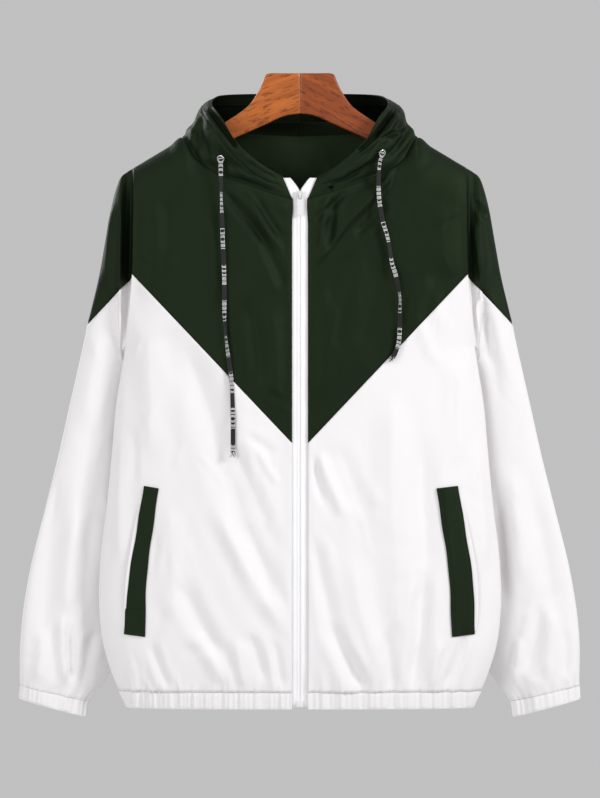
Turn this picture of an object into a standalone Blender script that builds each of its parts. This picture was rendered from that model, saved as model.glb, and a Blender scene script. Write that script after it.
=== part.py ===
"""Hooded windbreaker jacket hung on a plain wooden hanger.

The jacket hangs closed from the hanger's arms. Its front faces -Y and the wearer's right is at -X,
named "left" here because it is the left side as seen from the front. The origin is the middle of the
hanger's flat top. Sizes in the tables are in millimetres, and MM turns them into metres.
"""
import bisect
import math
from types import SimpleNamespace

import bmesh
import bpy
import numpy as np
from mathutils import Vector

MM = 0.001
SIDES = {"left": -1, "right": 1}
FRONT, BACK = -1, 1

# Driving dimensions
CLOTH = 1.2                # thickness of every cloth wall
SEAM_GAP = 0.4             # space between two panels at a seam
SIDE_GAP = 0.5             # from the middle plane to the edge of each panel at the side seams
SLEEVE_GAP = 1.3           # space at the armhole, where the sleeve turns sharply
NECK_GAP = 1.9             # space at the neck seam, where the hood turns up
LAYER_GAP = 0.35           # space between a panel and what lies on it
ZIP_EDGE = 9.0             # half the width of tape that shows between the fronts
ZIP_END_Z = -724.0         # lower end of the tapes
ZIP_TOP_Z = -121.0         # and their upper end
TAPE_WALL = 0.8
NECK_HALF = 134.0          # half the width of the neck seam
ARMHOLE_X = 190.0          # armhole seam from the middle of the body
SHOULDER_Z = -108.0
UNDERARM_Z = -312.0
HEM_SEAM_Z = -707.0
HEM_Z = -726.0
SHOULDER_ROUND = 50.0      # height over which the cloth turns over the hanger's arm
CROWN_POWER = 2.4          # over 2 is flatter than an ellipse
ARMHOLE_OPEN = 0.22        # how much short of a closed edge the armhole stops
ARMHOLE_RISE = 110.0       # height over which the armhole opens from its lowest point
CHEVRON_TIP_Z = -423.0     # colour seam of the fronts at the zip
CHEVRON_SIDE_Z = -232.0    # and at the armhole, where the sleeve's own seam starts down again
CAP_SLOPE = 1.03           # fall of the sleeve's colour seam for each millimetre outward
CUFF_ROW = 15.0            # row of the sleeve table where the cuff is sewn on
PANEL_ROWS_POWER = 1.35    # over 1 puts the body's rows closer together at the shoulder
SLEEVE_GROOVE = {"left": 15.0, "right": 7.0}
WELT_SCALE = {"left": 1.0, "right": 1.36}
WELT_SHIFT = {"left": 0.5, "right": 2.2}  # towards the zip
WELT_TOP_Z, WELT_END_Z = -473.0, -642.0
WELT_WALL = 1.6
FACING_WIDTH = 14.0
FACING_GAP = 2.0           # wider than other layers, because the rim turns sharply
HOOD_COLUMNS = 14
FACING_START = 2           # column of the hood where its facing starts, clear of the zip
EYELET_RING, EYELET_WIRE = 3.7, 0.9
CORD_WIDTH = 5.2
CORD_LIFT = 4.6            # centre of a drawstring in front of the cloth under it
CORD_STEP = 12.5           # between the bends of a drawstring
HANGER_THICK = 10.0
SLIDER_Z = -141.0          # line that the pull turns about
SLIDER_END_Z, SLIDER_TOP_Z = -146.5, -136.0
SLIDER_WALL = 2.4
BRIDGE_WALL = 0.8
PULL_WALL = 1.2


class Table:
    """Rows of sizes under named columns, read smoothly between the rows by the first column."""

    def __init__(self, names, rows):
        rows = sorted(rows)
        self.names = names.split()
        self.keys = [row[0] for row in rows]
        self.values = np.array(rows, dtype=float)
        self.slopes = np.gradient(self.values, self.keys, axis=0)

    def at(self, key):
        key = min(max(key, self.keys[0]), self.keys[-1])
        low = min(bisect.bisect_right(self.keys, key), len(self.keys) - 1) - 1
        span = self.keys[low + 1] - self.keys[low]
        t = (key - self.keys[low]) / span
        ends = (2 * t**3 - 3 * t**2 + 1) * self.values[low] + (3 * t**2 - 2 * t**3) * self.values[low + 1]
        turns = (t**3 - 2 * t**2 + t) * self.slopes[low] + (t**3 - t**2) * self.slopes[low + 1]
        return SimpleNamespace(**dict(zip(self.names, ends + turns * span)))


# Sections of the body from top to hem
BODY = Table("z half front back", [
    (-60, 190, 28, 28),
    (-170, 190, 31, 31),
    (-232, 191.5, 34, 34),
    (-312, 200, 38, 38),
    (-384, 211, 40, 40),
    (-430, 215, 42, 42),
    (-488, 220.5, 44, 44),
    (-563, 229, 45, 45),
    (-613, 230, 44, 44),
    (-655, 225, 42, 42),
    (-685, 216, 38, 38),
    (-707, 207, 34, 34),
    (-726, 198, 31, 31),
])

# Top edge of the fronts and of the back: neck seam, then shoulder line
TOP_LINE = Table("x front back", [
    (0, -147, -70),
    (37, -136, -69),
    (65, -126, -68),
    (98, -112, -67),
    (120, -96, -68),
    (134, -74, -73),
    (150, -84, -84),
    (170, -96, -96),
    (190, -108, -108),
    (230, -130, -130),
])

# Rings of the sleeve from the armhole to the end of the cuff
SLEEVE = Table("row outer_x outer_y outer_z inner_x inner_y inner_z front back", [
    (0, 190, 0, -108, 200, 0, -312, 21, 21),
    (1, 198, 1, -113, 204, 3, -318, 20, 19),
    (2, 207, 2, -122, 206, 7, -326, 20, 22),
    (3, 216, 4, -152, 203, 15, -338, 20, 24),
    (4, 224, 6, -196, 198, 25, -353, 20, 26),
    (5, 231, 8, -234, 192, 33, -371, 19, 28),
    (6, 242, 9, -280, 188, 38, -395, 18, 29),
    (7, 251, 10, -321, 186, 41, -423, 18, 30),
    (8, 264, 11, -378, 185, 42, -463, 18, 30),
    (9, 278, 12, -440, 186, 42, -508, 18, 30),
    (10, 293, 12, -500, 189, 43, -556, 18, 30),
    (11, 308, 12, -560, 194, 43, -604, 18, 30),
    (12, 317, 12, -610, 201, 41, -645, 18, 29),
    (13, 321, 13, -652, 210, 38, -675, 18, 27),
    (14, 321, 15, -684, 228, 33, -702, 17, 22),
    (15, 320, 17, -702, 243, 30, -721, 14, 16),
    (16, 321, 18, -718, 246, 29, -739, 13, 15),
])

# Stations of the hood from the zip round to the middle of the back
HOOD = Table("turn face neck_x rim_x rim_y rim_z sag belly", [
    (0, -1, 9, 20, -27, -119, 0, 0),
    (1, -1, 37, 36, -34, -111, 0, 3),
    (2, -1, 65, 52, -38, -100, 0, 4),
    (3, -1, 98, 74, -38, -79, 0, 5),
    (4, -1, 120, 86, -29, -58, 0, 6),
    (5, 0, 134, 100, -6, -37, 0, 6),
    (6, 1, 124, 98, 26, -26, 8, 13),
    (7, 1, 98, 86, 60, -20, 110, 27),
    (8, 1, 55, 50, 84, -17, 180, 26),
    (9, 1, 0, 0, 92, -17, 200, 26),
])
HOOD_TURNS = 9
HOOD_KNOTS = 6
# Knots between neck seam and rim: share of the way, then shares of the sag and of the belly
HOOD_PROFILE = ((1, 0.10, -0.05, 0.2), (2, 0.24, 0.30, 0.5), (3, 0.42, 0.97, 0.4),
                (4, 0.66, 0.97, 1.0), (5, 0.86, 0.42, 0.9))

# Zip tape: inner edge, hidden outer edge
TAPE = Table("z inner outer", [
    (-724, 0.25, 14),
    (-300, 0.25, 14),
    (-160, 0.25, 14),
    (-142, 0.3, 14),
    (-134, 1.6, 15.5),
    (-128, 5.6, 19),
    (-121, 10.8, 23.5),
])

# Pocket welt from its top end to its bottom end: inner and outer edge
WELT = Table("z inner outer", [
    (-473, 160, 179),
    (-508, 166, 185),
    (-545, 171, 190),
    (-582, 175, 195),
    (-614, 177, 197.5),
    (-642, 177.5, 198.5),
])

# One arm of the hanger from the middle outward: points on its top edge and on its bottom edge
HANGER = Table("row top_x top_z bottom_x bottom_z", [
    (0, 0.2, 0, 0.2, -46),
    (1, 20, 0, 12, -47.5),
    (2, 34, 0, 22, -50.5),
    (3, 39.5, -2.5, 30, -54),
    (4, 42.5, -10, 36, -57),
    (5, 49, -23, 44, -60.5),
    (6, 61, -39, 56, -66),
    (7, 84, -55, 76, -75),
    (8, 110, -71, 104, -91),
    (9, 134, -87, 130, -106),
    (10, 158, -99, 153, -119),
    (11, 176, -106, 171, -127),
    (12, 184, -114, 182, -128),
])

# Free part of each drawstring, in front view, from its eyelet down
EYELETS = {"left": (-90.0, -99.5), "right": (93.0, -93.0)}
CORD_ROUTES = {
    "left": [(-90, -103), (-90, -121), (-89.5, -149), (-88.5, -173), (-87.5, -197), (-86.5, -221),
             (-86, -245), (-85.5, -282), (-83.5, -306), (-80.5, -330), (-77.5, -354), (-76.5, -378),
             (-76, -402), (-76, -433)],
    "right": [(92.5, -97), (90.5, -104), (89.5, -115), (89.3, -133), (90.5, -151), (94, -171),
              (98.5, -186), (101.5, -200), (104.3, -218), (108.5, -231), (111.3, -244), (113.8, -258),
              (113.5, -276), (113.3, -293), (112, -309), (108, -321), (105, -326)],
}

GREEN = ("deep green cloth", (0.013, 0.020, 0.012), 0.62, 0.0)
WHITE = ("white cloth", (0.87, 0.86, 0.87), 0.65, 0.0)
FINISHES = {
    "zip_tape": ("white zip tape", (0.88, 0.87, 0.88), 0.7, 0.0),
    "lacquer": ("white lacquered metal", (0.85, 0.85, 0.85), 0.3, 0.2),
    "nickel": ("nickel plate", (0.72, 0.71, 0.69), 0.25, 1.0),
    "cord": ("black woven tape", (0.012, 0.013, 0.012), 0.8, 0.0),
    "light_wood": ("varnished wood, light", (0.46, 0.13, 0.035), 0.35, 0.0),
    "dark_wood": ("varnished wood, dark", (0.32, 0.08, 0.028), 0.35, 0.0),
}


def clear_scene():
    for old in list(bpy.data.objects):
        bpy.data.objects.remove(old, do_unlink=True)


def finish_material(name, colour, roughness, metallic):
    material = bpy.data.materials.get(name) or bpy.data.materials.new(name)
    material.use_nodes = True
    shader = material.node_tree.nodes["Principled BSDF"]
    shader.inputs["Base Color"].default_value = (*colour, 1.0)
    shader.inputs["Roughness"].default_value = roughness
    shader.inputs["Metallic"].default_value = metallic
    return material


def add_object(name, data, finish):
    piece = bpy.data.objects.new(name, data)
    bpy.context.scene.collection.objects.link(piece)
    data.materials.append(finish_material(*finish))
    return piece


def solidify(piece, thickness, offset=0.0):
    wall = piece.modifiers.new("wall", "SOLIDIFY")
    wall.thickness = thickness * MM
    wall.offset = offset
    wall.use_quality_normals = True
    return wall


def bevel(piece, width, segments=2):
    edge = piece.modifiers.new("edge", "BEVEL")
    edge.width = width * MM
    edge.segments = segments
    edge.limit_method = "ANGLE"


# Cloth surfaces: each gives a point in millimetres

def arc(value):
    """Quarter circle rising from 0 at 0 to 1 at 1, steep at the start."""
    return math.sqrt(max(0.0, 1.0 - (1.0 - min(max(value, 0.0), 1.0)) ** 2))


def top_z(face, x):
    line = TOP_LINE.at(abs(x))
    return line.front if face < 0 else line.back


def body_depth(face, x, z):
    """How far the front or back cloth stands from the middle plane."""
    section = BODY.at(z)
    spread = section.front if face < 0 else section.back
    opened = min(max((z - UNDERARM_Z) / ARMHOLE_RISE, 0.0), 1.0)
    across = min((1.0 - ARMHOLE_OPEN * opened) * abs(x) / section.half, 1.0)
    crown = math.sqrt(1.0 - across ** CROWN_POWER)
    neck = math.sqrt(max(0.0, 1.0 - (x / NECK_HALF) ** 2))
    turned = arc((top_z(face, x) - z) / SHOULDER_ROUND)
    return spread * (neck + (crown - neck) * turned)


def body_point(face, x, z):
    return np.array((x, face * max(body_depth(face, x, z), SIDE_GAP), z))


def armhole_point(turn):
    """The armhole seam at an angle: 0 at the shoulder, pi at the underarm, negative at the back."""
    z = SHOULDER_Z + (UNDERARM_Z - SHOULDER_Z) * (1.0 - math.cos(turn)) / 2.0
    face = FRONT if math.sin(turn) >= 0 else BACK
    half = BODY.at(z).half
    return np.array((half + SLEEVE_GAP, face * body_depth(face, half, z), z))


def ring_point(row, turn, groove):
    """A point of the sleeve's rings, with the fold beside the armhole on its front."""
    ring = SLEEVE.at(row)
    along = (1.0 - math.cos(turn)) / 2.0
    outer = np.array((ring.outer_x, ring.outer_y, ring.outer_z))
    inner = np.array((ring.inner_x, ring.inner_y, ring.inner_z))
    point = outer + (inner - outer) * along
    swing = math.sin(turn)
    if swing > 0:
        fold = groove * max(0.0, 1.0 - abs(row - 1.0) / 0.9)
        point[1] -= (ring.front - fold) * swing ** 1.3
    else:
        point[1] += ring.back * abs(swing) ** 0.9
    return point


def sleeve_point(side, row, turn):
    groove = SLEEVE_GROOVE[side]
    point = ring_point(row, turn, groove)
    seam = armhole_point(turn) - ring_point(0.0, turn, groove)
    point += seam * max(0.0, 1.0 - row)
    point[0] *= SIDES[side]
    return point


def hood_point(side, turn, rise):
    """A point of the hood: rise is 0 at the neck seam and 1 at the rim of the face opening."""
    station = HOOD.at(turn)
    face = FRONT if turn < 5.0 else BACK
    neck_x = min(station.neck_x, NECK_HALF)
    neck = body_point(face, neck_x, top_z(face, neck_x)) + (0.0, 0.0, NECK_GAP)
    rim = np.array((station.rim_x, station.rim_y, station.rim_z))
    bearing = math.pi * turn / HOOD_TURNS
    outward = np.array((math.sin(bearing), -math.cos(bearing), 0.0))
    down = np.array((0.0, 0.0, -1.0))
    sag, belly = max(station.sag, 0.0), station.belly
    knots = [(0, neck)]
    for place, share, drop, bulge in HOOD_PROFILE:
        knots.append((place, neck + (rim - neck) * share + down * sag * drop + outward * belly * bulge))
    knots.append((HOOD_KNOTS, rim))
    path = Table("step x y z", [(step, *point) for step, point in knots])
    here = path.at(rise * HOOD_KNOTS)
    return np.array((here.x * SIDES[side], here.y, here.z))


def moved_out(surface, u, v, distance):
    """A point of a surface moved along its normal, positive to the front or outside."""
    step = 0.01
    point = surface(u, v)
    across = surface(u + step, v) - surface(u - step, v)
    along = surface(u, v + step) - surface(u, v - step)
    normal = np.cross(across, along)
    return point + normal / np.linalg.norm(normal) * distance


# Mesh builders

def grid_mesh(columns, rows, place, closed=False):
    """A grid whose u and v run 0 to 1, with each point put where place says."""
    mesh = bmesh.new()
    bmesh.ops.create_grid(mesh, x_segments=columns, y_segments=rows, size=0.5)
    for vertex in mesh.verts:
        vertex.co = Vector(place(vertex.co.x + 0.5, vertex.co.y + 0.5)) * MM
    if closed:
        bmesh.ops.remove_doubles(mesh, verts=mesh.verts, dist=0.01 * MM)
    return mesh


def cut(mesh, point, direction):
    """Cut a sheet with a plane and keep the part behind the plane's direction."""
    parts = mesh.verts[:] + mesh.edges[:] + mesh.faces[:]
    bmesh.ops.bisect_plane(mesh, geom=parts, dist=1e-7, plane_co=Vector(point) * MM,
                           plane_no=Vector(direction).normalized(), clear_outer=True)


def cloth_piece(name, mesh, finish, thickness=CLOTH):
    bmesh.ops.remove_doubles(mesh, verts=mesh.verts, dist=0.02 * MM)
    data = bpy.data.meshes.new(name)
    mesh.to_mesh(data)
    mesh.free()
    piece = add_object(name, data, finish)
    solidify(piece, thickness)
    data.shade_smooth()
    return piece


def body_grid(face, edge_x, columns, rows):
    """Half a body panel from its inner edge to the side, with a middle column at the neck point."""
    power = math.log((NECK_HALF - edge_x) / (ARMHOLE_X - edge_x)) / math.log(math.sin(math.pi / 4.0))

    def place(u, v):
        across = math.sin(u * math.pi / 2.0) ** power
        start = top_z(face, edge_x + (ARMHOLE_X - edge_x) * across)
        z = start + (HEM_SEAM_Z - start) * (1.0 - v) ** PANEL_ROWS_POWER
        x = edge_x + (BODY.at(z).half - edge_x) * across
        return body_point(face, x, z)
    return grid_mesh(columns, rows, place)


def hem_grid(face, edge_x, columns, rows):
    """Half a hem band, with the same columns as the panel above it."""
    power = math.log((NECK_HALF - edge_x) / (ARMHOLE_X - edge_x)) / math.log(math.sin(math.pi / 4.0))
    top = HEM_SEAM_Z - SEAM_GAP

    def place(u, v):
        z = HEM_Z + (top - HEM_Z) * v
        x = edge_x + (BODY.at(z).half - edge_x) * math.sin(u * math.pi / 2.0) ** power
        return body_point(face, x, z)
    return grid_mesh(columns, rows, place)


def chevron_cut(mesh, keep_above):
    rise = (CHEVRON_SIDE_Z - CHEVRON_TIP_Z) / (ARMHOLE_X - ZIP_EDGE)
    shift = SEAM_GAP / 2.0 * math.hypot(1.0, rise) * (1 if keep_above else -1)
    normal = Vector((rise, 0.0, -1.0)) * (1 if keep_above else -1)
    cut(mesh, (ZIP_EDGE, 0.0, CHEVRON_TIP_Z + shift), normal)


def mirror_half(mesh, whole):
    """Put a right-hand mesh on the left, or add its mirror image to make a whole panel."""
    if whole:
        parts = mesh.verts[:] + mesh.edges[:] + mesh.faces[:]
        bmesh.ops.mirror(mesh, geom=parts, axis="X", merge_dist=0.01 * MM)
        bmesh.ops.recalc_face_normals(mesh, faces=mesh.faces)
    else:
        bmesh.ops.scale(mesh, vec=(-1.0, 1.0, 1.0), verts=mesh.verts)
        bmesh.ops.reverse_faces(mesh, faces=mesh.faces)


def make_fronts():
    for side, sign in SIDES.items():
        for name, above, finish in (("front_yoke", True, GREEN), ("front_body", False, WHITE)):
            mesh = body_grid(FRONT, ZIP_EDGE, 10, 18)
            chevron_cut(mesh, above)
            if sign < 0:
                mirror_half(mesh, whole=False)
            cloth_piece(f"{name}_{side}", mesh, finish)
        hem = hem_grid(FRONT, ZIP_EDGE, 10, 2)
        if sign < 0:
            mirror_half(hem, whole=False)
        cloth_piece(f"hem_front_{side}", hem, WHITE)


def make_back():
    for name, above, finish in (("back_yoke", True, GREEN), ("back_body", False, WHITE)):
        mesh = body_grid(BACK, 0.0, 10, 18)
        chevron_cut(mesh, above)
        mirror_half(mesh, whole=True)
        cloth_piece(name, mesh, finish)
    hem = hem_grid(BACK, 0.0, 10, 2)
    mirror_half(hem, whole=True)
    cloth_piece("hem_back", hem, WHITE)


def make_sleeves():
    for side, sign in SIDES.items():
        def sleeve_place(u, v):
            return sleeve_point(side, CUFF_ROW * v, (0.5 - u) * 2.0 * math.pi)

        def cuff_place(u, v):
            return sleeve_point(side, CUFF_ROW + 0.03 + 0.97 * v, (0.5 - u) * 2.0 * math.pi)

        seam = Vector((sign * ARMHOLE_X, 0.0, CHEVRON_SIDE_Z))
        half_gap = Vector((0.0, 0.0, SEAM_GAP))
        upward = Vector((sign * CAP_SLOPE, 0.0, 1.0))
        cap = grid_mesh(16, 15, sleeve_place, closed=True)
        cut(cap, seam + half_gap, -upward)
        cloth_piece(f"sleeve_cap_{side}", cap, GREEN)
        sleeve = grid_mesh(16, 15, sleeve_place, closed=True)
        cut(sleeve, seam - half_gap, upward)
        cloth_piece(f"sleeve_{side}", sleeve, WHITE)
        cloth_piece(f"cuff_{side}", grid_mesh(16, 2, cuff_place, closed=True), WHITE)


def make_hood():
    last = HOOD_TURNS - 0.02
    for side in SIDES:
        panel = grid_mesh(HOOD_COLUMNS, 12, lambda u, v: hood_point(side, last * u, v))
        cloth_piece(f"hood_{side}", panel, GREEN)

        def inner_surface(u, v):
            turn = last * (FACING_START + (HOOD_COLUMNS - FACING_START) * u) / HOOD_COLUMNS
            tenth = np.linalg.norm(hood_point(side, turn, 0.9) - hood_point(side, turn, 1.0))
            return hood_point(side, turn, 1.0 - 0.1 * FACING_WIDTH / tenth * (1.0 - v))

        def facing_place(u, v):
            return moved_out(inner_surface, u, v, -(CLOTH + FACING_GAP) * SIDES[side])

        facing = grid_mesh(HOOD_COLUMNS - FACING_START, 2, facing_place)
        cloth_piece(f"hood_facing_{side}", facing, GREEN)


def tape_y(z):
    """Middle of the zip tape, behind the edges of the fronts and of the hood."""
    behind = CLOTH + 2.0 * LAYER_GAP
    if z < top_z(FRONT, ZIP_EDGE):
        return behind - body_depth(FRONT, ZIP_EDGE, z)
    rise = (z - top_z(FRONT, ZIP_EDGE)) / (HOOD.at(0).rim_z - top_z(FRONT, ZIP_EDGE))
    return behind + hood_point("right", 0.0, min(rise, 1.0))[1]


def make_zip():
    for side, sign in SIDES.items():
        def place(u, v):
            z = ZIP_END_Z + (ZIP_TOP_Z - ZIP_END_Z) * v ** 0.7
            tape = TAPE.at(z)
            return np.array((sign * (tape.inner + (tape.outer - tape.inner) * u), tape_y(z), z))
        cloth_piece(f"zip_tape_{side}", grid_mesh(1, 24, place), FINISHES["zip_tape"], thickness=TAPE_WALL)
    make_slider()


def make_slider():
    """Slider body in front of the tapes, and the bridge that holds the pull to it."""
    face_y = tape_y(SLIDER_Z) - TAPE_WALL / 2.0 - 2.0 * LAYER_GAP
    axis_y = face_y - SLIDER_WALL - 1.3
    outline = Table("z half", [(SLIDER_END_Z, 3.2), (-144, 4.0), (-139, 4.8), (SLIDER_TOP_Z, 4.4)])
    bridge = Table("step y z", [(0, face_y - 1.5, -145), (1, axis_y - 0.9, -144.6), (2, axis_y - 1.7, -143),
                                (3, axis_y - 1.7, -139), (4, axis_y - 0.9, -137.4), (5, face_y - 1.5, -137)])

    def body_place(u, v):
        z = SLIDER_END_Z + (SLIDER_TOP_Z - SLIDER_END_Z) * v
        return np.array(((2.0 * u - 1.0) * outline.at(z).half, face_y - SLIDER_WALL / 2.0, z))

    def bridge_place(u, v):
        here = bridge.at(5.0 * v)
        return np.array((2.0 * u - 1.0, here.y, here.z))

    slider = cloth_piece("zip_slider", grid_mesh(2, 4, body_place), FINISHES["lacquer"],
                         thickness=SLIDER_WALL)
    bevel(slider, 0.5)
    strap = cloth_piece("bridge_to_join", grid_mesh(1, 10, bridge_place), FINISHES["lacquer"],
                        thickness=BRIDGE_WALL)
    strap.hide_render = True
    strap.display_type = "WIRE"
    union = slider.modifiers.new("bridge", "BOOLEAN")
    union.operation = "UNION"
    union.object = strap
    make_pull(axis_y, SLIDER_Z)


def make_pull(axis_y, axis_z):
    """Pull tab whose cross bar turns under the slider's bridge, about a line along X."""
    across = (-3.3, -1.8, 1.8, 3.3)
    down = (0.6, -0.6, -4.9, -21.0, -23.5)
    mesh = bmesh.new()
    bmesh.ops.create_grid(mesh, x_segments=3, y_segments=4, size=0.5)
    for vertex in mesh.verts:
        column, row = round((vertex.co.x + 0.5) * 3), round((0.5 - vertex.co.y) * 4)
        narrow = 0.6 if row == 4 else 1.0
        vertex.co = Vector((across[column] * narrow, 0.0, down[row])) * MM
    window_centre = Vector((0.0, 0.0, (down[1] + down[2]) / 2.0)) * MM
    window = min(mesh.faces, key=lambda face: (face.calc_center_median() - window_centre).length)
    bmesh.ops.delete(mesh, geom=[window], context="FACES_ONLY")
    pull = cloth_piece("zip_pull", mesh, FINISHES["lacquer"], thickness=PULL_WALL)
    pull.location = Vector((0.0, axis_y, axis_z)) * MM
    bevel(pull, 0.25, 1)


def front_surface(x, z):
    return body_point(FRONT, x, z)


def make_welts():
    for side, sign in SIDES.items():
        def place(u, v):
            row = WELT.at(WELT_END_Z + (WELT_TOP_Z - WELT_END_Z) * v)
            middle = (row.inner + row.outer) / 2.0 - WELT_SHIFT[side]
            half = (row.outer - row.inner) / 2.0 * WELT_SCALE[side]
            lift = CLOTH / 2.0 + LAYER_GAP + WELT_WALL / 2.0
            point = moved_out(front_surface, middle + (2.0 * u - 1.0) * half, row.z, lift)
            return point * (sign, 1.0, 1.0)
        cloth_piece(f"welt_{side}", grid_mesh(2, 7, place), GREEN, thickness=WELT_WALL)


def nearest_on_hood(side, x, z):
    """Hood surface point that shows at a place in front view, found by halving steps."""
    turn, rise, step = 3.4, 0.5, 0.5
    while step > 1e-3:
        trials = [(turn + a * step, rise + b * step * 0.5) for a in (-1, 0, 1) for b in (-1, 0, 1)]
        gaps = [np.hypot(*(hood_point(side, *trial)[[0, 2]] - (x, z))) for trial in trials]
        turn, rise = trials[int(np.argmin(gaps))]
        step *= 0.7
    return turn, rise


def make_eyelets_and_cords():
    for side in SIDES:
        x, z = EYELETS[side]
        turn, rise = nearest_on_hood(side, x, z)
        lift = CLOTH / 2.0 + 3.0 * LAYER_GAP + EYELET_WIRE
        centre = moved_out(lambda a, b: hood_point(side, a, b), turn, rise, lift * SIDES[side])
        facing = Vector(centre - hood_point(side, turn, rise)).normalized()
        ring = bmesh.new()
        bmesh.ops.create_circle(ring, segments=8, radius=EYELET_WIRE * MM)
        bmesh.ops.rotate(ring, verts=ring.verts, matrix=Vector((0, 0, 1)).rotation_difference(
            Vector((0, 1, 0))).to_matrix())
        bmesh.ops.translate(ring, verts=ring.verts, vec=(EYELET_RING * MM, 0.0, 0.0))
        bmesh.ops.spin(ring, geom=ring.edges[:], cent=(0, 0, 0), axis=(0, 0, 1), steps=16,
                       angle=2.0 * math.pi, use_merge=True)
        bmesh.ops.recalc_face_normals(ring, faces=ring.faces)
        data = bpy.data.meshes.new(f"eyelet_{side}")
        ring.to_mesh(data)
        ring.free()
        data.shade_smooth()
        eyelet = add_object(f"eyelet_{side}", data, FINISHES["nickel"])
        eyelet.rotation_mode = "QUATERNION"
        eyelet.rotation_quaternion = Vector((0, 0, 1)).rotation_difference(facing)
        eyelet.location = Vector(centre) * MM
        reach = EYELET_WIRE + EYELET_RING * math.sqrt(1.0 - facing.y ** 2)
        exit_y = centre[1] - reach - CORD_WIDTH / 2.0 - LAYER_GAP
        make_cord(f"drawstring_{side}", CORD_ROUTES[side], exit_y)


def make_cord(name, route, exit_y):
    points = []
    for x, z in route:
        inside = z > top_z(FRONT, x)
        y = exit_y if inside else min(-body_depth(FRONT, x, z) - CORD_LIFT, exit_y)
        points.append((x, y, z))
    path = Table("step x y z", [(step, *point) for step, point in enumerate(points)])
    curve = bpy.data.curves.new(name, "CURVE")
    curve.dimensions = "3D"
    length = sum(math.dist(a, b) for a, b in zip(points, points[1:]))
    count = round(length / CORD_STEP)
    spline = curve.splines.new("POLY")
    spline.points.add(count)
    for index, knot in enumerate(spline.points):
        here = path.at((len(points) - 1) * index / count)
        knot.co = (here.x * MM, here.y * MM, here.z * MM, 1.0)
    curve.bevel_depth = CORD_WIDTH / 2.0 * MM
    curve.bevel_resolution = 2
    curve.use_fill_caps = True
    add_object(name, curve, FINISHES["cord"])


def make_hanger():
    for side, sign in SIDES.items():
        def place(u, v):
            row = HANGER.at(u * 12.0)
            x = row.bottom_x + (row.top_x - row.bottom_x) * v
            return np.array((sign * x, 0.0, row.bottom_z + (row.top_z - row.bottom_z) * v))
        finish = FINISHES["light_wood" if side == "left" else "dark_wood"]
        board = cloth_piece(f"hanger_{side}", grid_mesh(12, 1, place), finish, thickness=HANGER_THICK)
        bevel(board, 2.0)


clear_scene()
make_fronts()
make_back()
make_sleeves()
make_hood()
make_zip()
make_welts()
make_eyelets_and_cords()
make_hanger()
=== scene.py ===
"""Visual model of a hooded windbreaker jacket on its hanger, laid out as an add-on and run as a script.

Sizes in the tables are millimetres in the frame's axes: the jacket's front faces -Y and the origin is
the middle of the hanger's flat top. Left and right mean as seen from the front.
"""
import math
from types import SimpleNamespace

import bmesh
import bpy
import numpy as np
from mathutils import Matrix, Vector


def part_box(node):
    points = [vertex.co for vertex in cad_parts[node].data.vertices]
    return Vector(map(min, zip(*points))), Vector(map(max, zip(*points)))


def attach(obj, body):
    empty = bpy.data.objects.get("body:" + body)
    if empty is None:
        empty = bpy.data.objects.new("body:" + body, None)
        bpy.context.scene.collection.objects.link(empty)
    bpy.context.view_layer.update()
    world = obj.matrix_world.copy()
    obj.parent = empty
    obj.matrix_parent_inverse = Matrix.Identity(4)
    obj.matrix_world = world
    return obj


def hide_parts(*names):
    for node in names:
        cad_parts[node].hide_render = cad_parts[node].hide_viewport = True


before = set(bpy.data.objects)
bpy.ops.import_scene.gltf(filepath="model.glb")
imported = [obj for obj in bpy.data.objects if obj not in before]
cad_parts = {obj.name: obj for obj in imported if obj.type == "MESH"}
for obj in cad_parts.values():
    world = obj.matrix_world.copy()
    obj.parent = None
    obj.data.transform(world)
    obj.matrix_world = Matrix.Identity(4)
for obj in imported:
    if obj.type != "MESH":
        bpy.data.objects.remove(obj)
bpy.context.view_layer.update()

bl_info = {
    "name": "Windbreaker Jacket",
    "version": (1, 0, 0),
    "blender": (4, 5, 0),
    "location": "View3D > Sidebar > Jacket",
    "description": "Builds the cloth, zip, cords and hanger of a hooded windbreaker around its frame",
    "category": "Object",
}

MM = 0.001
SIDES = {"left": -1, "right": 1}
FRONT, BACK = -1, 1
BODY = "jacket"

# Sizes shared with the frame
ZIP_EDGE = 9.0
NECK_HALF = 134.0
ARMHOLE_X = 190.0
SHOULDER_Z = -108.0
UNDERARM_Z = -312.0
HEM_SEAM_Z = -707.0
HEM_Z = -726.0
SHOULDER_ROUND = 50.0
CROWN_POWER = 2.4
ARMHOLE_OPEN = 0.22
ARMHOLE_RISE = 110.0
CHEVRON_TIP_Z = -423.0
CHEVRON_SIDE_Z = -232.0
CHEVRON_SLOPE = (CHEVRON_SIDE_Z - CHEVRON_TIP_Z) / (ARMHOLE_X - ZIP_EDGE)
CAP_SLOPE = 1.03
CUFF_ROW = 15.0
SLEEVE_GROOVE = {"left": 22.0, "right": 13.0}
WELT_SCALE = {"left": 1.0, "right": 1.36}
WELT_SHIFT = {"left": 0.5, "right": 2.2}
WELT_LOW, WELT_HIGH = -642.0, -473.0
HOOD_TURNS = 9.0
HANGER_THICK = 10.0
ZIP_TOP_Z, ZIP_END_Z, ZIP_BOX_Z = -121.0, -724.0, -719.5
SEAM_GAP = 0.3
FOLD_DEPTH = 1.5
BAND_DEPTH = 19.0  # height of the elastic hem and cuffs
SLEEVE_ROUND = 250.0  # cloth round a sleeve, for spacing its pleats
BACK_HALF, FRONT_WIDTH = 215.0, 215.0  # cloth across half the back, and across a front
BAND_WALL = 1.1
STITCH_FROM_ZIP = 3.2
STITCH_OVER_HEM = 2.2
STITCH_LIFT = 0.12
STITCH_LONG, STITCH_PAUSE = 2.4, 1.0
THREAD = 0.45
CASING = 14.0  # from the rim of the hood to its row of stitches
MERGE = 0.02 * MM

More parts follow.
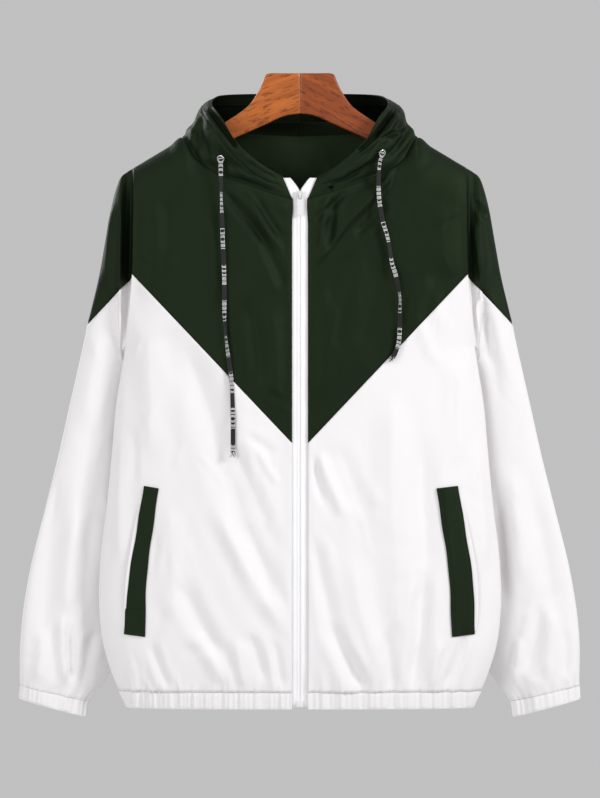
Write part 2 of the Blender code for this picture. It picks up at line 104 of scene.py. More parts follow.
# Seeds of the strewn creases, pleats and waves
FRONT_SEEDS = {"left": 11, "right": 23}
BACK_SEED = 31
SLEEVE_SEEDS = {"left": 41, "right": 53}
HOOD_SEEDS = {"left": 61, "right": 71}


def cubic(t, start, end, start_slope, end_slope, span=1.0):
    """Values between two ends of a span, with the slope at each end kept; t goes from 0 to 1."""
    ends = (2 * t**3 - 3 * t**2 + 1) * start + (3 * t**2 - 2 * t**3) * end
    turns = (t**3 - 2 * t**2 + t) * start_slope + (t**3 - t**2) * end_slope
    return ends + turns * span


class Table:
    """Rows of sizes under named columns, read smoothly between the rows by the first column."""

    def __init__(self, names, rows):
        self.names = names.split()
        self.values = np.array(sorted(rows), dtype=float)
        self.keys = self.values[:, 0]
        self.slopes = np.gradient(self.values, self.keys, axis=0)

    def at(self, key):
        key = np.clip(np.asarray(key, dtype=float), self.keys[0], self.keys[-1])
        low = np.clip(np.searchsorted(self.keys, key, side="right") - 1, 0, len(self.keys) - 2)
        span = (self.keys[low + 1] - self.keys[low])[..., None]
        t = (key - self.keys[low])[..., None] / span
        read = cubic(t, self.values[low], self.values[low + 1], self.slopes[low], self.slopes[low + 1], span)
        return SimpleNamespace(**dict(zip(self.names, np.moveaxis(read, -1, 0))))


SECTIONS = Table("z half front back", [
    (-60, 190, 28, 28),
    (-170, 190, 31, 31),
    (-232, 191.5, 34, 34),
    (-312, 200, 38, 38),
    (-384, 211, 40, 40),
    (-430, 215, 42, 42),
    (-488, 220.5, 44, 44),
    (-563, 229, 45, 45),
    (-613, 230, 44, 44),
    (-655, 225, 42, 42),
    (-685, 216, 38, 38),
    (-707, 207, 34, 34),
    (-726, 198, 31, 31),
])

TOP_LINE = Table("x front back", [
    (0, -147, -70),
    (37, -136, -69),
    (65, -126, -68),
    (98, -112, -67),
    (120, -96, -68),
    (134, -74, -73),
    (150, -84, -84),
    (170, -96, -96),
    (190, -108, -108),
    (230, -130, -130),
])

SLEEVE = Table("row outer_x outer_y outer_z inner_x inner_y inner_z front back", [
    (0, 190, 0, -108, 200, 0, -312, 21, 21),
    (1, 198, 1, -113, 204, 3, -318, 20, 19),
    (2, 207, 2, -122, 206, 7, -326, 20, 22),
    (3, 216, 4, -152, 203, 15, -338, 20, 24),
    (4, 224, 6, -196, 198, 25, -353, 20, 26),
    (5, 231, 8, -234, 192, 33, -371, 19, 28),
    (6, 242, 9, -280, 188, 38, -395, 18, 29),
    (7, 251, 10, -321, 186, 41, -423, 18, 30),
    (8, 264, 11, -378, 185, 42, -463, 18, 30),
    (9, 278, 12, -440, 186, 42, -508, 18, 30),
    (10, 293, 12, -500, 189, 43, -556, 18, 30),
    (11, 308, 12, -560, 194, 43, -604, 18, 30),
    (12, 317, 12, -610, 201, 41, -645, 18, 29),
    (13, 321, 13, -652, 210, 38, -675, 18, 27),
    (14, 321, 15, -684, 228, 33, -702, 17, 22),
    (15, 320, 17, -702, 243, 30, -721, 14, 16),
    (16, 321, 18, -718, 246, 29, -739, 13, 15),
])

HOOD = Table("turn face neck_x rim_x rim_y rim_z sag belly", [
    (0, -1, 9, 20, -27, -119, 0, 0),
    (1, -1, 37, 36, -34, -111, 0, 3),
    (2, -1, 65, 52, -38, -100, 0, 4),
    (3, -1, 98, 74, -38, -79, 0, 5),
    (4, -1, 120, 86, -29, -58, 0, 6),
    (5, 0, 134, 100, -6, -37, 0, 6),
    (6, 1, 124, 98, 26, -26, 8, 13),
    (7, 1, 98, 86, 60, -20, 110, 27),
    (8, 1, 55, 50, 84, -17, 180, 26),
    (9, 1, 0, 0, 92, -17, 200, 26),
])
# Knots of the hood's profile: share of the way to the rim, then shares of the sag and of the belly
HOOD_PROFILE = ((0, 0, 0), (0.10, -0.05, 0.2), (0.24, 0.30, 0.5), (0.42, 0.97, 0.4),
                (0.66, 0.97, 1.0), (0.86, 0.42, 0.9), (1, 0, 0))

TAPE = Table("z inner outer", [
    (-724, 0.25, 14),
    (-300, 0.25, 14),
    (-160, 0.25, 14),
    (-142, 0.3, 14),
    (-134, 1.6, 15.5),
    (-128, 5.6, 19),
    (-121, 10.8, 23.5),
])

WELT = Table("z inner outer", [
    (-473, 160, 179),
    (-508, 166, 185),
    (-545, 171, 190),
    (-582, 175, 195),
    (-614, 177, 197.5),
    (-642, 177.5, 198.5),
])

HANGER = Table("row top_x top_z bottom_x bottom_z", [
    (0, -3, 0, -3, -46),
    (1, 20, 0, 12, -47.5),
    (2, 34, 0, 22, -50.5),
    (3, 39.5, -2.5, 30, -54),
    (4, 42.5, -10, 36, -57),
    (5, 49, -23, 44, -60.5),
    (6, 61, -39, 56, -66),
    (7, 84, -55, 76, -75),
    (8, 110, -71, 104, -91),
    (9, 134, -87, 130, -106),
    (10, 158, -99, 153, -119),
    (11, 176, -106, 171, -127),
    (12, 184, -114, 182, -128),
])

EYELETS = {"left": (-90.0, -99.5), "right": (93.0, -93.0)}
CORD_WIDTH, CORD_THICK, CORD_LIFT = 5.2, 1.1, 4.6
CORD_ROUND = CORD_WIDTH * 3.1416
CORD_ROUTES = {
    "left": [(-90, -103), (-90, -121), (-89.5, -149), (-88.5, -173), (-87.5, -197), (-86.5, -221),
             (-86, -245), (-85.5, -282), (-83.5, -306), (-80.5, -330), (-77.5, -354), (-76.5, -378),
             (-76, -402), (-76, -433)],
    "right": [(92.5, -97), (90.5, -104), (89.5, -115), (89.3, -133), (90.5, -151), (94, -171),
              (98.5, -186), (101.5, -200), (104.3, -218), (108.5, -231), (111.3, -244), (113.8, -258),
              (113.5, -276), (113.3, -293), (112, -309), (108, -321), (105, -326)],
}

# Creases placed in front view: a line from x0, z0 to x1, z1, its half width and its height.
# A height over nought is a ridge and one under nought a trough. A seventh number makes the side to the
# left of the line, seen going along it, that many times as wide.
FRONT_FOLDS = {
    "left": [
        (-166, -146, -172, -262, 17, 2.6),
        (-150, -150, -152, -250, 9, -1.4),
        (-84, -137, -39, -198, 5, -3.2),
        (-39, -198, -17, -246, 6, -2.8),
        (-62, -140, -24, -200, 5, 2.4),
        (-48, -148, -22, -188, 3.5, -1.6),
        (-110, -160, -100, -260, 14, 1.6),
        (-32, -268, -29, -374, 11, 2.2),
        (-58, -262, -44, -350, 10, -1.8),
        (-22, -372, -12, -392, 4, 1.6),
        (-36, -366, -16, -378, 4, -1.3),
        (-171, -294, -171, -430, 13, 2.4),
        (-132, -317, -58, -516, 15, -3.6),
        (-58, -516, -33, -600, 12, -3.0),
        (-75, -431, -24, -545, 8, -1.8),
        (-92, -505, -22, -632, 9, 2.8),
        (-58, -415, -30, -436, 5, -1.4),
        (-48, -432, -26, -468, 4, 1.3),
        (-135, -585, -92, -668, 10, -3.0),
        (-120, -640, -84, -694, 7, 2.2),
        (-57, -642, -40, -690, 7, -2.6),
        (-74, -650, -62, -700, 6, 2.0),
        (-30, -650, -20, -700, 5, -2.0),
        (-150, -500, -140, -620, 12, 1.5),
        (-168, -655, -150, -700, 5, -2.0),
        (-205, -420, -206, -560, 8, 1.4),
    ],
    "right": [
        (106, -96, 98, -130, 3, 3.2, 3.0),
        (99, -126, 54, -173, 3.4, 3.6, 4.0),
        (56, -171, 20, -218, 3.2, 3.0, 3.0),
        (98, -150, 64, -184, 6, -2.6),
        (30, -140, 22, -200, 4, 2.2),
        (40, -146, 33, -205, 4, -2.2),
        (50, -136, 20, -168, 4, -2.0),
        (60, -210, 30, -260, 10, -1.6),
        (142, -237, 128, -290, 7, 2.0),
        (160, -150, 165, -230, 16, 1.6),
        (100, -220, 70, -310, 16, -1.6),
        (30, -250, 24, -370, 10, 1.5),
        (22, -436, 47, -502, 6, 2.6),
        (14, -440, 26, -492, 4, -1.6),
        (44, -430, 72, -500, 9, -1.6),
        (102, -380, 108, -545, 15, 2.8),
        (108, -545, 114, -640, 13, 2.2),
        (142, -425, 143, -575, 11, -3.2),
        (143, -575, 130, -694, 8, -4.6),
        (16, -535, 34, -628, 8, -3.2),
        (34, -628, 70, -702, 8, -4.4),
        (60, -560, 84, -690, 12, 2.4),
        (98, -640, 104, -700, 6, -2.2),
        (188, -642, 168, -698, 5, -2.8),
        (160, -650, 148, -700, 5, 2.4),
        (205, -430, 208, -560, 8, 1.4),
        (176, -330, 182, -440, 12, 1.8),
    ],
}
BACK_FOLDS = [
    (-60, -150, -40, -300, 16, 1.8),
    (66, -160, 52, -290, 14, -1.8),
    (-140, -170, -120, -290, 13, -1.8),
    (146, -160, 130, -280, 13, 2.0),
    (-20, -440, -34, -640, 15, 2.6),
    (30, -460, 48, -650, 13, -3.0),
    (-90, -470, -74, -690, 12, -3.0),
    (96, -430, 88, -600, 14, 2.4),
    (150, -480, 138, -694, 10, -3.2),
    (-150, -440, -160, -620, 13, 2.4),
    (-176, -600, -150, -698, 8, -3.0),
    (0, -600, 8, -700, 8, -2.2),
    (64, -620, 70, -700, 7, 2.4),
    (-120, -640, -112, -700, 6, 2.0),
    (180, -620, 172, -700, 6, 2.0),
]
SLEEVE_FOLDS = {
    "left": [
        (-216, -150, -222, -230, 6, 1.6),
        (-280, -470, -296, -650, 12, -3.0),
        (-255, -505, -270, -612, 9, 3.0),
        (-238, -400, -244, -560, 10, -1.8),
        (-274, -626, -271, -696, 5, 3.2),
        (-264, -640, -262, -694, 3.5, -2.6),
        (-296, -640, -300, -694, 6, 1.8),
        (-236, -640, -252, -704, 6, -2.4),
        (-232, -300, -246, -400, 9, 1.6),
    ],
    "right": [
        (200, -148, 214, -166, 3.5, -2.6),
        (199, -172, 206, -226, 5, 2.0),
        (205, -248, 218, -332, 6, -3.2),
        (224, -260, 238, -350, 8, 1.8),
        (244, -460, 257, -580, 11, 3.0),
        (227, -495, 234, -606, 9, -2.8),
        (275, -500, 292, -620, 11, -1.8),
        (275, -612, 262, -682, 6, -2.6),
        (290, -620, 284, -690, 6, 2.2),
        (252, -650, 246, -700, 5, 2.0),
        (306, -640, 304, -690, 5, -1.8),
    ],
}
SLEEVE_BACK_FOLDS = [
    (228, -200, 236, -300, 9, 2.0),
    (240, -330, 252, -450, 10, -2.4),
    (222, -420, 232, -540, 9, 2.2),
    (276, -480, 290, -600, 11, 2.4),
    (250, -520, 262, -640, 9, -2.6),
    (282, -630, 280, -692, 6, 2.4),
    (262, -640, 262, -700, 5, -2.4),
    (300, -640, 302, -690, 5, -1.8),
]
HOOD_FOLDS = {
    "left": [
        (-103, -42, -88, -66, 2.6, -3.6),
        (-89, -64, -72, -88, 2.4, -3.2),
        (-97, -40, -70, -82, 3.0, 1.6),
        (-112, -50, -118, -92, 4, -1.6),
        (-124, -66, -108, -106, 5, 1.8),
        (-104, -70, -98, -104, 5, 1.4),
        (-72, -112, -30, -132, 4, 1.4),
        (-60, -104, -28, -122, 2.6, -1.2),
    ],
    "right": [
        (107, -44, 86, -75, 2.6, -5.6),
        (86, -74, 66, -92, 2.2, -3.2),
        (99, -40, 78, -74, 3.4, 2.4),
        (112, -50, 96, -74, 3.0, 2.4),
        (120, -66, 92, -76, 2.6, -2.0),
        (118, -54, 104, -88, 3.5, 2.0),
        (126, -62, 100, -98, 3.5, -1.8),
        (84, -96, 38, -124, 3.6, 2.0),
        (70, -112, 34, -132, 3, -1.6),
        (38, -132, 33, -134, 1.6, -3.0),
    ],
}
# Creases of the hanging bag of the hood, in stations round the neck and share of the way to the rim
BAG_FOLDS = [
    (6.4, 0.55, 7.6, 0.95, 8, 2.6),
    (6.9, 0.45, 8.2, 0.62, 9, -2.6),
    (7.6, 0.60, 8.3, 0.98, 8, -2.2),
    (8.3, 0.55, 8.6, 0.95, 9, 2.0),
    (6.0, 0.35, 6.9, 0.80, 7, -2.2),
]
BAG_STATION, BAG_LENGTH = 42.0, 380.0


# ---------------------------------------------------------------- surfaces of the cloth

def smooth(value):
    value = np.clip(value, 0.0, 1.0)
    return value * value * (3.0 - 2.0 * value)


def top_z(face, x):
    line = TOP_LINE.at(np.abs(x))
    return line.front if face < 0 else line.back


def body_depth(face, x, z):
    """How far the front or back cloth stands from the middle plane."""
    section = SECTIONS.at(z)
    spread = section.front if face < 0 else section.back
    opened = np.clip((z - UNDERARM_Z) / ARMHOLE_RISE, 0.0, 1.0)
    across = np.minimum((1.0 - ARMHOLE_OPEN * opened) * np.abs(x) / section.half, 1.0)
    crown = np.sqrt(1.0 - across ** CROWN_POWER)
    neck = np.sqrt(np.maximum(0.0, 1.0 - (x / NECK_HALF) ** 2))
    drop = np.clip((top_z(face, x) - z) / SHOULDER_ROUND, 0.0, 1.0)
    turned = np.sqrt(1.0 - (1.0 - drop) ** 2)
    return spread * (neck + (crown - neck) * turned)


def body_point(face, x, z):
    depth = np.maximum(body_depth(face, x, z), SEAM_GAP)
    return np.stack(np.broadcast_arrays(x, face * depth, z), axis=-1)


def armhole_point(turn):
    z = SHOULDER_Z + (UNDERARM_Z - SHOULDER_Z) * (1.0 - np.cos(turn)) / 2.0
    half = SECTIONS.at(z).half
    front = np.sin(turn) >= 0
    depth = np.where(front, -body_depth(FRONT, half, z), body_depth(BACK, half, z))
    return np.stack((half - 0.4, depth, z), axis=-1)


def ring_point(row, turn, groove):
    ring = SLEEVE.at(row)
    along = (1.0 - np.cos(turn)) / 2.0
    swing = np.sin(turn)
    fold = groove * np.clip(row / 0.35, 0.0, 1.0) * np.clip((1.8 - row) / 1.35, 0.0, 1.0)
    front = (ring.front - fold) * np.maximum(swing, 0.0) ** 1.3
    back = ring.back * np.maximum(-swing, 0.0) ** 0.9
    return np.stack((
        ring.outer_x + (ring.inner_x - ring.outer_x) * along,
        ring.outer_y + (ring.inner_y - ring.outer_y) * along - front + back,
        ring.outer_z + (ring.inner_z - ring.outer_z) * along,
    ), axis=-1)


def sleeve_point(side, row, turn):
    groove = SLEEVE_GROOVE[side]
    seam = armhole_point(turn) - ring_point(np.zeros_like(row), turn, groove)
    point = ring_point(row, turn, groove) + seam * np.maximum(0.0, 1.0 - row)[..., None]
    return point * (SIDES[side], 1.0, 1.0)


def hood_point(side, turn, rise):
    """A point of the hood: rise is 0 at the neck seam and 1 at the rim of the face opening."""
    station = HOOD.at(turn)
    neck_x = np.minimum(station.neck_x, NECK_HALF)
    neck_front = body_point(FRONT, neck_x, top_z(FRONT, neck_x))
    neck_back = body_point(BACK, neck_x, top_z(BACK, neck_x))
    neck = np.where((turn < 5.0)[..., None], neck_front, neck_back) + (0.0, 0.0, -0.5)
    rim = np.stack((station.rim_x, station.rim_y, station.rim_z), axis=-1)
    bearing = math.pi * turn / HOOD_TURNS
    outward = np.stack((np.sin(bearing), -np.cos(bearing), np.zeros_like(bearing)), axis=-1)
    sag, belly = np.maximum(station.sag, 0.0)[..., None], station.belly[..., None]
    knots = np.stack([neck + (rim - neck) * share + outward * belly * bulge + sag * drop * (0.0, 0.0, -1.0)
                      for share, drop, bulge in HOOD_PROFILE])
    slopes = np.gradient(knots, axis=0)
    place = np.clip(rise, 0.0, 1.0) * (len(HOOD_PROFILE) - 1)
    low = np.minimum(place.astype(int), len(HOOD_PROFILE) - 2)
    t = (place - low)[..., None]
    each = np.arange(len(low))
    point = cubic(t, knots[low, each], knots[low + 1, each], slopes[low, each], slopes[low + 1, each])
    return point * (SIDES[side], 1.0, 1.0)


def tape_y(z):
    """Middle of the zip tape, behind the edges of the fronts and of the hood."""
    behind = 1.9
    z = np.atleast_1d(z)
    at_neck = float(top_z(FRONT, ZIP_EDGE))
    rise = np.clip((z - at_neck) / (-119.0 - at_neck), 0.0, 1.0)
    hood = hood_point("right", np.zeros_like(rise), rise)[..., 1]
    return behind + np.where(z < at_neck, -body_depth(FRONT, ZIP_EDGE, z), hood)


# ---------------------------------------------------------------- relief of the cloth

def folds(rows, x, z, scale_x=1.0, scale_z=1.0):
    """Height of the listed creases, each with soft sides, soft ends and a slight hollow beside it."""
    total = np.zeros(np.broadcast(x, z).shape)
    for x0, z0, x1, z1, width, height, *skew in rows:
        run = np.array(((x1 - x0) * scale_x, (z1 - z0) * scale_z))
        length = np.hypot(*run)
        dx, dz = (x - x0) * scale_x, (z - z0) * scale_z
        along = (dx * run[0] + dz * run[1]) / length**2
        bend = 0.12 * width * np.sin(along * 5.0 + x0)
        across = (dx * run[1] - dz * run[0]) / length / width + bend / width
        across /= np.where(across > 0.0, skew[0] if skew else 1.0, 1.0)
        ends = smooth((along + 0.12) / 0.30) * smooth((1.12 - along) / 0.30)
        profile = np.exp(-np.abs(across) ** 1.6) - 0.30 * np.exp(-((np.abs(across) - 1.9) / 0.9) ** 2)
        total += height * profile * ends
    return total * FOLD_DEPTH


def crinkles(x, z, count, low, high, height, seed):
    """Many short shallow creases strewn over a panel, mostly running down it."""
    chance = np.random.RandomState(seed)
    rows = []
    for _ in range(count):
        x0, z0 = chance.uniform(low[0], high[0]), chance.uniform(low[1], high[1])
        angle, long = chance.normal(0.0, 0.6), chance.uniform(14.0, 60.0)
        wide = long * chance.uniform(0.07, 0.13)
        rows.append((x0, z0, x0 + long * math.sin(angle), z0 - long * math.cos(angle), wide,
                     height * chance.uniform(-1.0, 1.0) * (wide / 4.0)))
    return folds(rows, x, z)


def gathers(along, away, length, spacing, height, reach, seed):
    """Uneven pleats that run away from an elastic seam and die out. Under the seam they stay whole."""
    chance = np.random.RandomState(seed)
    total = np.zeros(np.broadcast(along, away).shape)
    place = -spacing
    while place < length + spacing:
        tall = height * chance.uniform(0.45, 1.25)
        far = reach * chance.uniform(0.4, 1.6)
        lean = chance.uniform(-0.22, 0.22)
        wide = spacing * chance.uniform(0.30, 0.46)
        spread = wide * (1.0 + np.clip(away, 0.0, 60.0) / 34.0)
        across = (along - place - lean * away) / spread
        total += tall * np.exp(-across**2) * np.exp(-(np.maximum(away, 0.0) / far) ** 1.5)
        place += spacing * chance.uniform(0.65, 1.45)
    return total - 0.35 * height * np.exp(-(np.maximum(away, 0.0) / reach) ** 1.5)


def drape(x, z, seed, height=0.7):
    """Slow uneven waves of a hanging sheet."""
    chance = np.random.RandomState(seed)
    total = np.zeros(np.broadcast(x, z).shape)
    for size in (150.0, 110.0, 80.0, 56.0, 40.0, 24.0):
        angle = chance.uniform(-0.7, 0.7)
        phase = chance.uniform(0.0, 6.28)
        sweep = (x * math.cos(angle) + z * math.sin(angle) * 0.6) * 2.0 * math.pi / size
        wander = 0.8 * np.sin(z * 2.0 * math.pi / (size * 2.3) + phase)
        total += size / 150.0 * np.sin(sweep + phase + wander)
    return total * height


def chevron_distance(x, z):
    """Distance from the colour seam of the body, positive above it."""
    line = CHEVRON_TIP_Z + CHEVRON_SLOPE * (np.abs(x) - ZIP_EDGE)
    return (z - line) / math.hypot(1.0, CHEVRON_SLOPE)


def seam(distance, groove=0.55, lip=0.35):
    """A sewn line: a narrow groove between two soft lips."""
    return lip * np.exp(-((np.abs(distance) - 2.2) / 1.6) ** 2) - groove * np.exp(-(distance / 0.8) ** 2)


def hem_pleats(along, above, length, seed):
    """Pleats over the elastic: close ribs, and every few of them a longer one up the panel."""
    small = gathers(along, above, length, 5.4, 1.7, 11.0, seed + 1)
    return small + gathers(along, above, length, 15.0, 2.4, 34.0, seed + 5)


def front_relief(side, x, z):
    sign, seed = SIDES[side], FRONT_SEEDS[side]
    out = np.abs(x) - ZIP_EDGE
    half = SECTIONS.at(z).half
    calm = smooth(out / 10.0) * smooth((half - np.abs(x)) / 14.0) * smooth((top_z(FRONT, x) - z) / 16.0)
    soft = folds(FRONT_FOLDS[side], x, z) + drape(x, z, seed, 0.55)
    hem = hem_pleats(np.abs(x), z - HEM_SEAM_Z, FRONT_WIDTH, seed)
    soft += crinkles(x, z, 70, (sign * 200.0, -700.0), (sign * 10.0, -120.0), 0.55, seed + 7)
    edge = gathers(-z, out, 720.0, 15.0, 0.55, 8.0, seed + 2) * smooth(out / 2.0)
    shoulder = gathers(-z, half - np.abs(x), 320.0, 19.0, 0.45, 9.0, seed + 3) * smooth((z + 330.0) / 30.0)
    lines = seam(chevron_distance(x, z)) + seam(out - STITCH_FROM_ZIP, 0.35, 0.25)
    return soft * calm + hem * smooth((half - np.abs(x)) / 6.0) + edge + shoulder * 0.6 + lines


def back_relief(x, z):
    half = SECTIONS.at(z).half
    calm = smooth((half - np.abs(x)) / 14.0) * smooth((top_z(BACK, x) - z) / 16.0)
    hem = hem_pleats(x + BACK_HALF, z - HEM_SEAM_Z, 2.0 * BACK_HALF, BACK_SEED)
    soft = folds(BACK_FOLDS, x, z) + drape(x, z, BACK_SEED + 2, 0.6)
    soft += crinkles(x, z, 130, (-200.0, -700.0), (200.0, -90.0), 0.55, BACK_SEED + 3)
    return soft * calm + hem * smooth((half - np.abs(x)) / 6.0) + seam(chevron_distance(x, z))


def band_relief(pleats, down, depth):
    """Elastic casing: the pleats carried on over a soft tube that tucks in at the seam and at the edge."""
    tube = np.sqrt(np.clip(1.0 - (2.0 * down / depth - 1.0) ** 2, 0.0, 1.0))
    edge = smooth((depth - down) / 3.0)
    return pleats * (0.55 + 0.45 * edge) + 0.5 * tube - 0.2 * smooth(1.0 - np.abs(down - 1.0) / 2.0)


def sleeve_relief(side, point, row, turn):
    sign, seed = SIDES[side], SLEEVE_SEEDS[side]
    x, z = point[..., 0], point[..., 2]
    swing = np.sin(turn)
    front = folds(SLEEVE_FOLDS[side], x, z) * smooth(np.maximum(swing, 0.0) / 0.55)
    back = folds(SLEEVE_BACK_FOLDS, np.abs(x), z) * smooth(np.maximum(-swing, 0.0) / 0.55)
    ring = SLEEVE.at(row)
    above = ring.outer_z - float(SLEEVE.at(CUFF_ROW).outer_z)
    cuff = cuff_pleats(turn, above, seed)
    cap = seam((z - (CHEVRON_SIDE_Z - CAP_SLOPE * (np.abs(x) - ARMHOLE_X))) / math.hypot(1.0, CAP_SLOPE))
    start = smooth(row / 1.5)
    soft = drape(x, z, seed + 2, 0.5) + crinkles(x, z, 60, (sign * 320.0, -700.0), (sign * 195.0, -110.0),
                                                 0.5, seed + 3)
    return (front + back + soft * np.abs(swing)) * start + cuff + cap


def cuff_pleats(turn, above, seed):
    """Pleats round the wrist, which fade where the two ends of the ring meet."""
    way = turn / (2.0 * math.pi) * SLEEVE_ROUND + SLEEVE_ROUND / 2.0
    small = gathers(way, above, SLEEVE_ROUND, 7.6, 1.6, 9.0, seed)
    large = gathers(way, above, SLEEVE_ROUND, 21.0, 2.6, 30.0, seed + 1)
    return (small + large) * smooth((math.pi - np.abs(turn)) / 0.25)


def hood_relief(side, point, turn, rise):
    x, z = point[..., 0], point[..., 2]
    seed = HOOD_SEEDS[side]
    front = smooth((5.2 - turn) / 0.5) * smooth(rise / 0.12)
    bag = smooth((turn - 5.6) / 0.8) * smooth((rise - 0.3) / 0.2) * smooth((9.0 - turn) / 0.5 + 0.2)
    creases = folds(HOOD_FOLDS[side], x, z) * front
    creases += folds(BAG_FOLDS, turn, rise, BAG_STATION, BAG_LENGTH) * bag
    to_rim = np.linalg.norm(point - hood_point(side, turn, np.ones_like(rise)), axis=-1)
    casing = seam(to_rim - CASING, 0.5, 0.3) * smooth((turn - 0.3) / 0.5)
    rolled = 0.9 * np.exp(-((to_rim - 5.0) / 5.0) ** 2) * smooth((turn - 0.3) / 0.8)
    middle = seam((HOOD_TURNS - turn) * BAG_STATION, 0.8, 0.5)
    slack = drape(turn * 40.0, rise * 200.0, seed, 0.6) * smooth(rise / 0.2) * smooth((1.0 - rise) / 0.2)
    sewn = 0.9 * np.exp(-((rise * 60.0 - 1.5) / 3.0) ** 2)
    return creases + casing + rolled + middle + sewn + slack * smooth((turn - 0.5) / 2.0)


def flat_relief(point, u, v):
    return np.zeros_like(u)


class Sheet:
    """A surface of cloth with its relief, read at pairs of numbers and turned into a mesh."""

    def __init__(self, place, relief, outward, step=1e-3, limits=(0.0, 1.0), wraps=False):
        self.place, self.relief, self.outward = place, relief, outward
        self.step, self.limits, self.wraps = step, limits, wraps

    def normal(self, u, v):
        low, high = self.limits
        before = u - self.step if self.wraps else np.clip(u - self.step, low, high)
        after = u + self.step if self.wraps else np.clip(u + self.step, low, high)
        up, down = np.clip(v + self.step, low, high), np.clip(v - self.step, low, high)
        across = self.place(after, v) - self.place(before, v)
        along = self.place(u, up) - self.place(u, down)
        normal = np.cross(across, along)
        return self.outward * normal / np.maximum(np.linalg.norm(normal, axis=-1, keepdims=True), 1e-12)

    def at(self, u, v, lift=0.0):
        u, v = np.broadcast_arrays(np.asarray(u, dtype=float), np.asarray(v, dtype=float))
        point = self.place(u, v)
        return point + self.normal(u, v) * (self.relief(point, u, v) + lift)[..., None]

    def mesh(self, columns, rows, size, lift=0.0, warp=None):
        """A bmesh grid on the surface, with UVs in metres of cloth."""
        mesh = bmesh.new()
        bmesh.ops.create_grid(mesh, x_segments=columns, y_segments=rows, size=0.5)
        flat = np.array([vertex.co[:2] for vertex in mesh.verts]) + 0.5
        ways = warp(flat[:, 0], flat[:, 1]) if warp else (flat[:, 0], flat[:, 1])
        for vertex, point in zip(mesh.verts, self.at(*ways, lift) * MM):
            vertex.co = point
        cloth = mesh.loops.layers.uv.new("cloth")
        spread = flat * np.array(size) * MM
        for face in mesh.faces:
            for loop in face.loops:
                loop[cloth].uv = spread[loop.vert.index]
        if self.outward < 0:
            bmesh.ops.reverse_faces(mesh, faces=mesh.faces)
        if self.wraps:
            bmesh.ops.remove_doubles(mesh, verts=mesh.verts, dist=MERGE)
        return mesh


def body_sheet(face, side=None):
    """The front on one side, or the back, read at x and z in millimetres."""
    def place(x, z):
        return body_point(face, x, z)

    def relief(point, x, z):
        return front_relief(side, x, z) if face == FRONT else back_relief(x, z)

    return Sheet(place, relief, 1 if face == FRONT else -1, 0.05, (-1e4, 1e4))


def panel_sheet(face, side, top, bottom):
    """The same cloth read over 0 to 1 across and up, for meshes that reach the side seam."""
    sign = SIDES[side] if side else 1
    edge = ZIP_EDGE if face == FRONT else 0.0

    def spots(u, v):
        span = 2.0 * u - 1.0 if side is None else u
        across = np.sign(span) * np.sin(np.abs(span) * math.pi / 2.0)
        top_x = edge * sign + (ARMHOLE_X - edge) * across * sign
        start = top_z(face, top_x) if top is None else top
        z = start + (bottom - start) * (1.0 - v) ** (1.35 if top is None else 1.0)
        inner = edge - 1.2 * np.exp(-((z + 154.0) / 12.0) ** 2) * (face == FRONT)
        x = inner * sign + (SECTIONS.at(z).half - inner) * across * sign
        return x, z

    def relief(point, u, v):
        x, z = spots(u, v)
        if bottom < HEM_SEAM_Z:
            seed = FRONT_SEEDS[side] if side else BACK_SEED
            along, length = (np.abs(x), FRONT_WIDTH) if side else (x + BACK_HALF, 2.0 * BACK_HALF)
            pleats = hem_pleats(along, 0.0 * z, length, seed)
            pleats = pleats * smooth((SECTIONS.at(z).half - np.abs(x)) / 6.0)
            return band_relief(pleats, HEM_SEAM_Z - z, HEM_SEAM_Z - HEM_Z)
        return front_relief(side, x, z) if face == FRONT else back_relief(x, z)

    outward = sign if face == FRONT else -1
    return Sheet(lambda u, v: body_point(face, *spots(u, v)), relief, outward)


def tube_sheet(side, first, last):
    """A stretch of sleeve or cuff between two rows of its table, round all the way."""
    def ways(u, v):
        return first + (last - first) * v, (0.5 - u) * 2.0 * math.pi

    def relief(point, u, v):
        row, turn = ways(u, v)
        wrapped = (turn + math.pi) % (2.0 * math.pi) - math.pi
        if first >= CUFF_ROW:
            pleats = cuff_pleats(wrapped, 0.0 * row, SLEEVE_SEEDS[side])
            return band_relief(pleats, (row - CUFF_ROW) * BAND_DEPTH, BAND_DEPTH)
        return sleeve_relief(side, point, row, wrapped)

    return Sheet(lambda u, v: sleeve_point(side, *ways(u, v)), relief, -SIDES[side], wraps=True)


def casing_share(side, turn):
    """Depth of the hood's casing as a share of the way from the neck to the rim."""
    near = hood_point(side, turn, np.full_like(turn, 0.9))
    span = np.linalg.norm(near - hood_point(side, turn, np.ones_like(turn)), axis=-1)
    return 0.1 * CASING / span


def hood_sheet(side):
    def place(turn, rise):
        return hood_point(side, turn, rise)

    def relief(point, turn, rise):
        return hood_relief(side, point, turn, rise)

    return Sheet(place, relief, SIDES[side], 2e-3, (0.0, HOOD_TURNS))


# ---------------------------------------------------------------- shader maths

class Signal:
    """A shader value that takes part in Python sums; each sign adds its Math node."""

    def __init__(self, paint, socket):
        self.paint, self.socket = paint, socket

    def math(self, operation, *others):
        inputs = {index: other for index, other in enumerate(others)}
        return self.paint.node("ShaderNodeMath", {"operation": operation}, inputs)

    def __add__(self, other):
        return self.math("ADD", self, other)

    def __sub__(self, other):
        return self.math("SUBTRACT", self, other)

    def __mul__(self, other):
        return self.math("MULTIPLY", self, other)

    def __truediv__(self, other):
        return self.math("DIVIDE", self, other)

    def __lt__(self, other):
        return self.math("LESS_THAN", self, other)

    def __gt__(self, other):
        return self.math("GREATER_THAN", self, other)

    __radd__, __rmul__ = __add__, __mul__

    def sine(self):
        return self.math("SINE", self)

    def size(self):
        return self.math("ABSOLUTE", self)

    def part(self):
        return self.math("FRACT", self)

    def floor(self):
        return self.math("FLOOR", self)

    def held(self):
        return self.paint.node("ShaderNodeClamp", {}, {"Value": self})


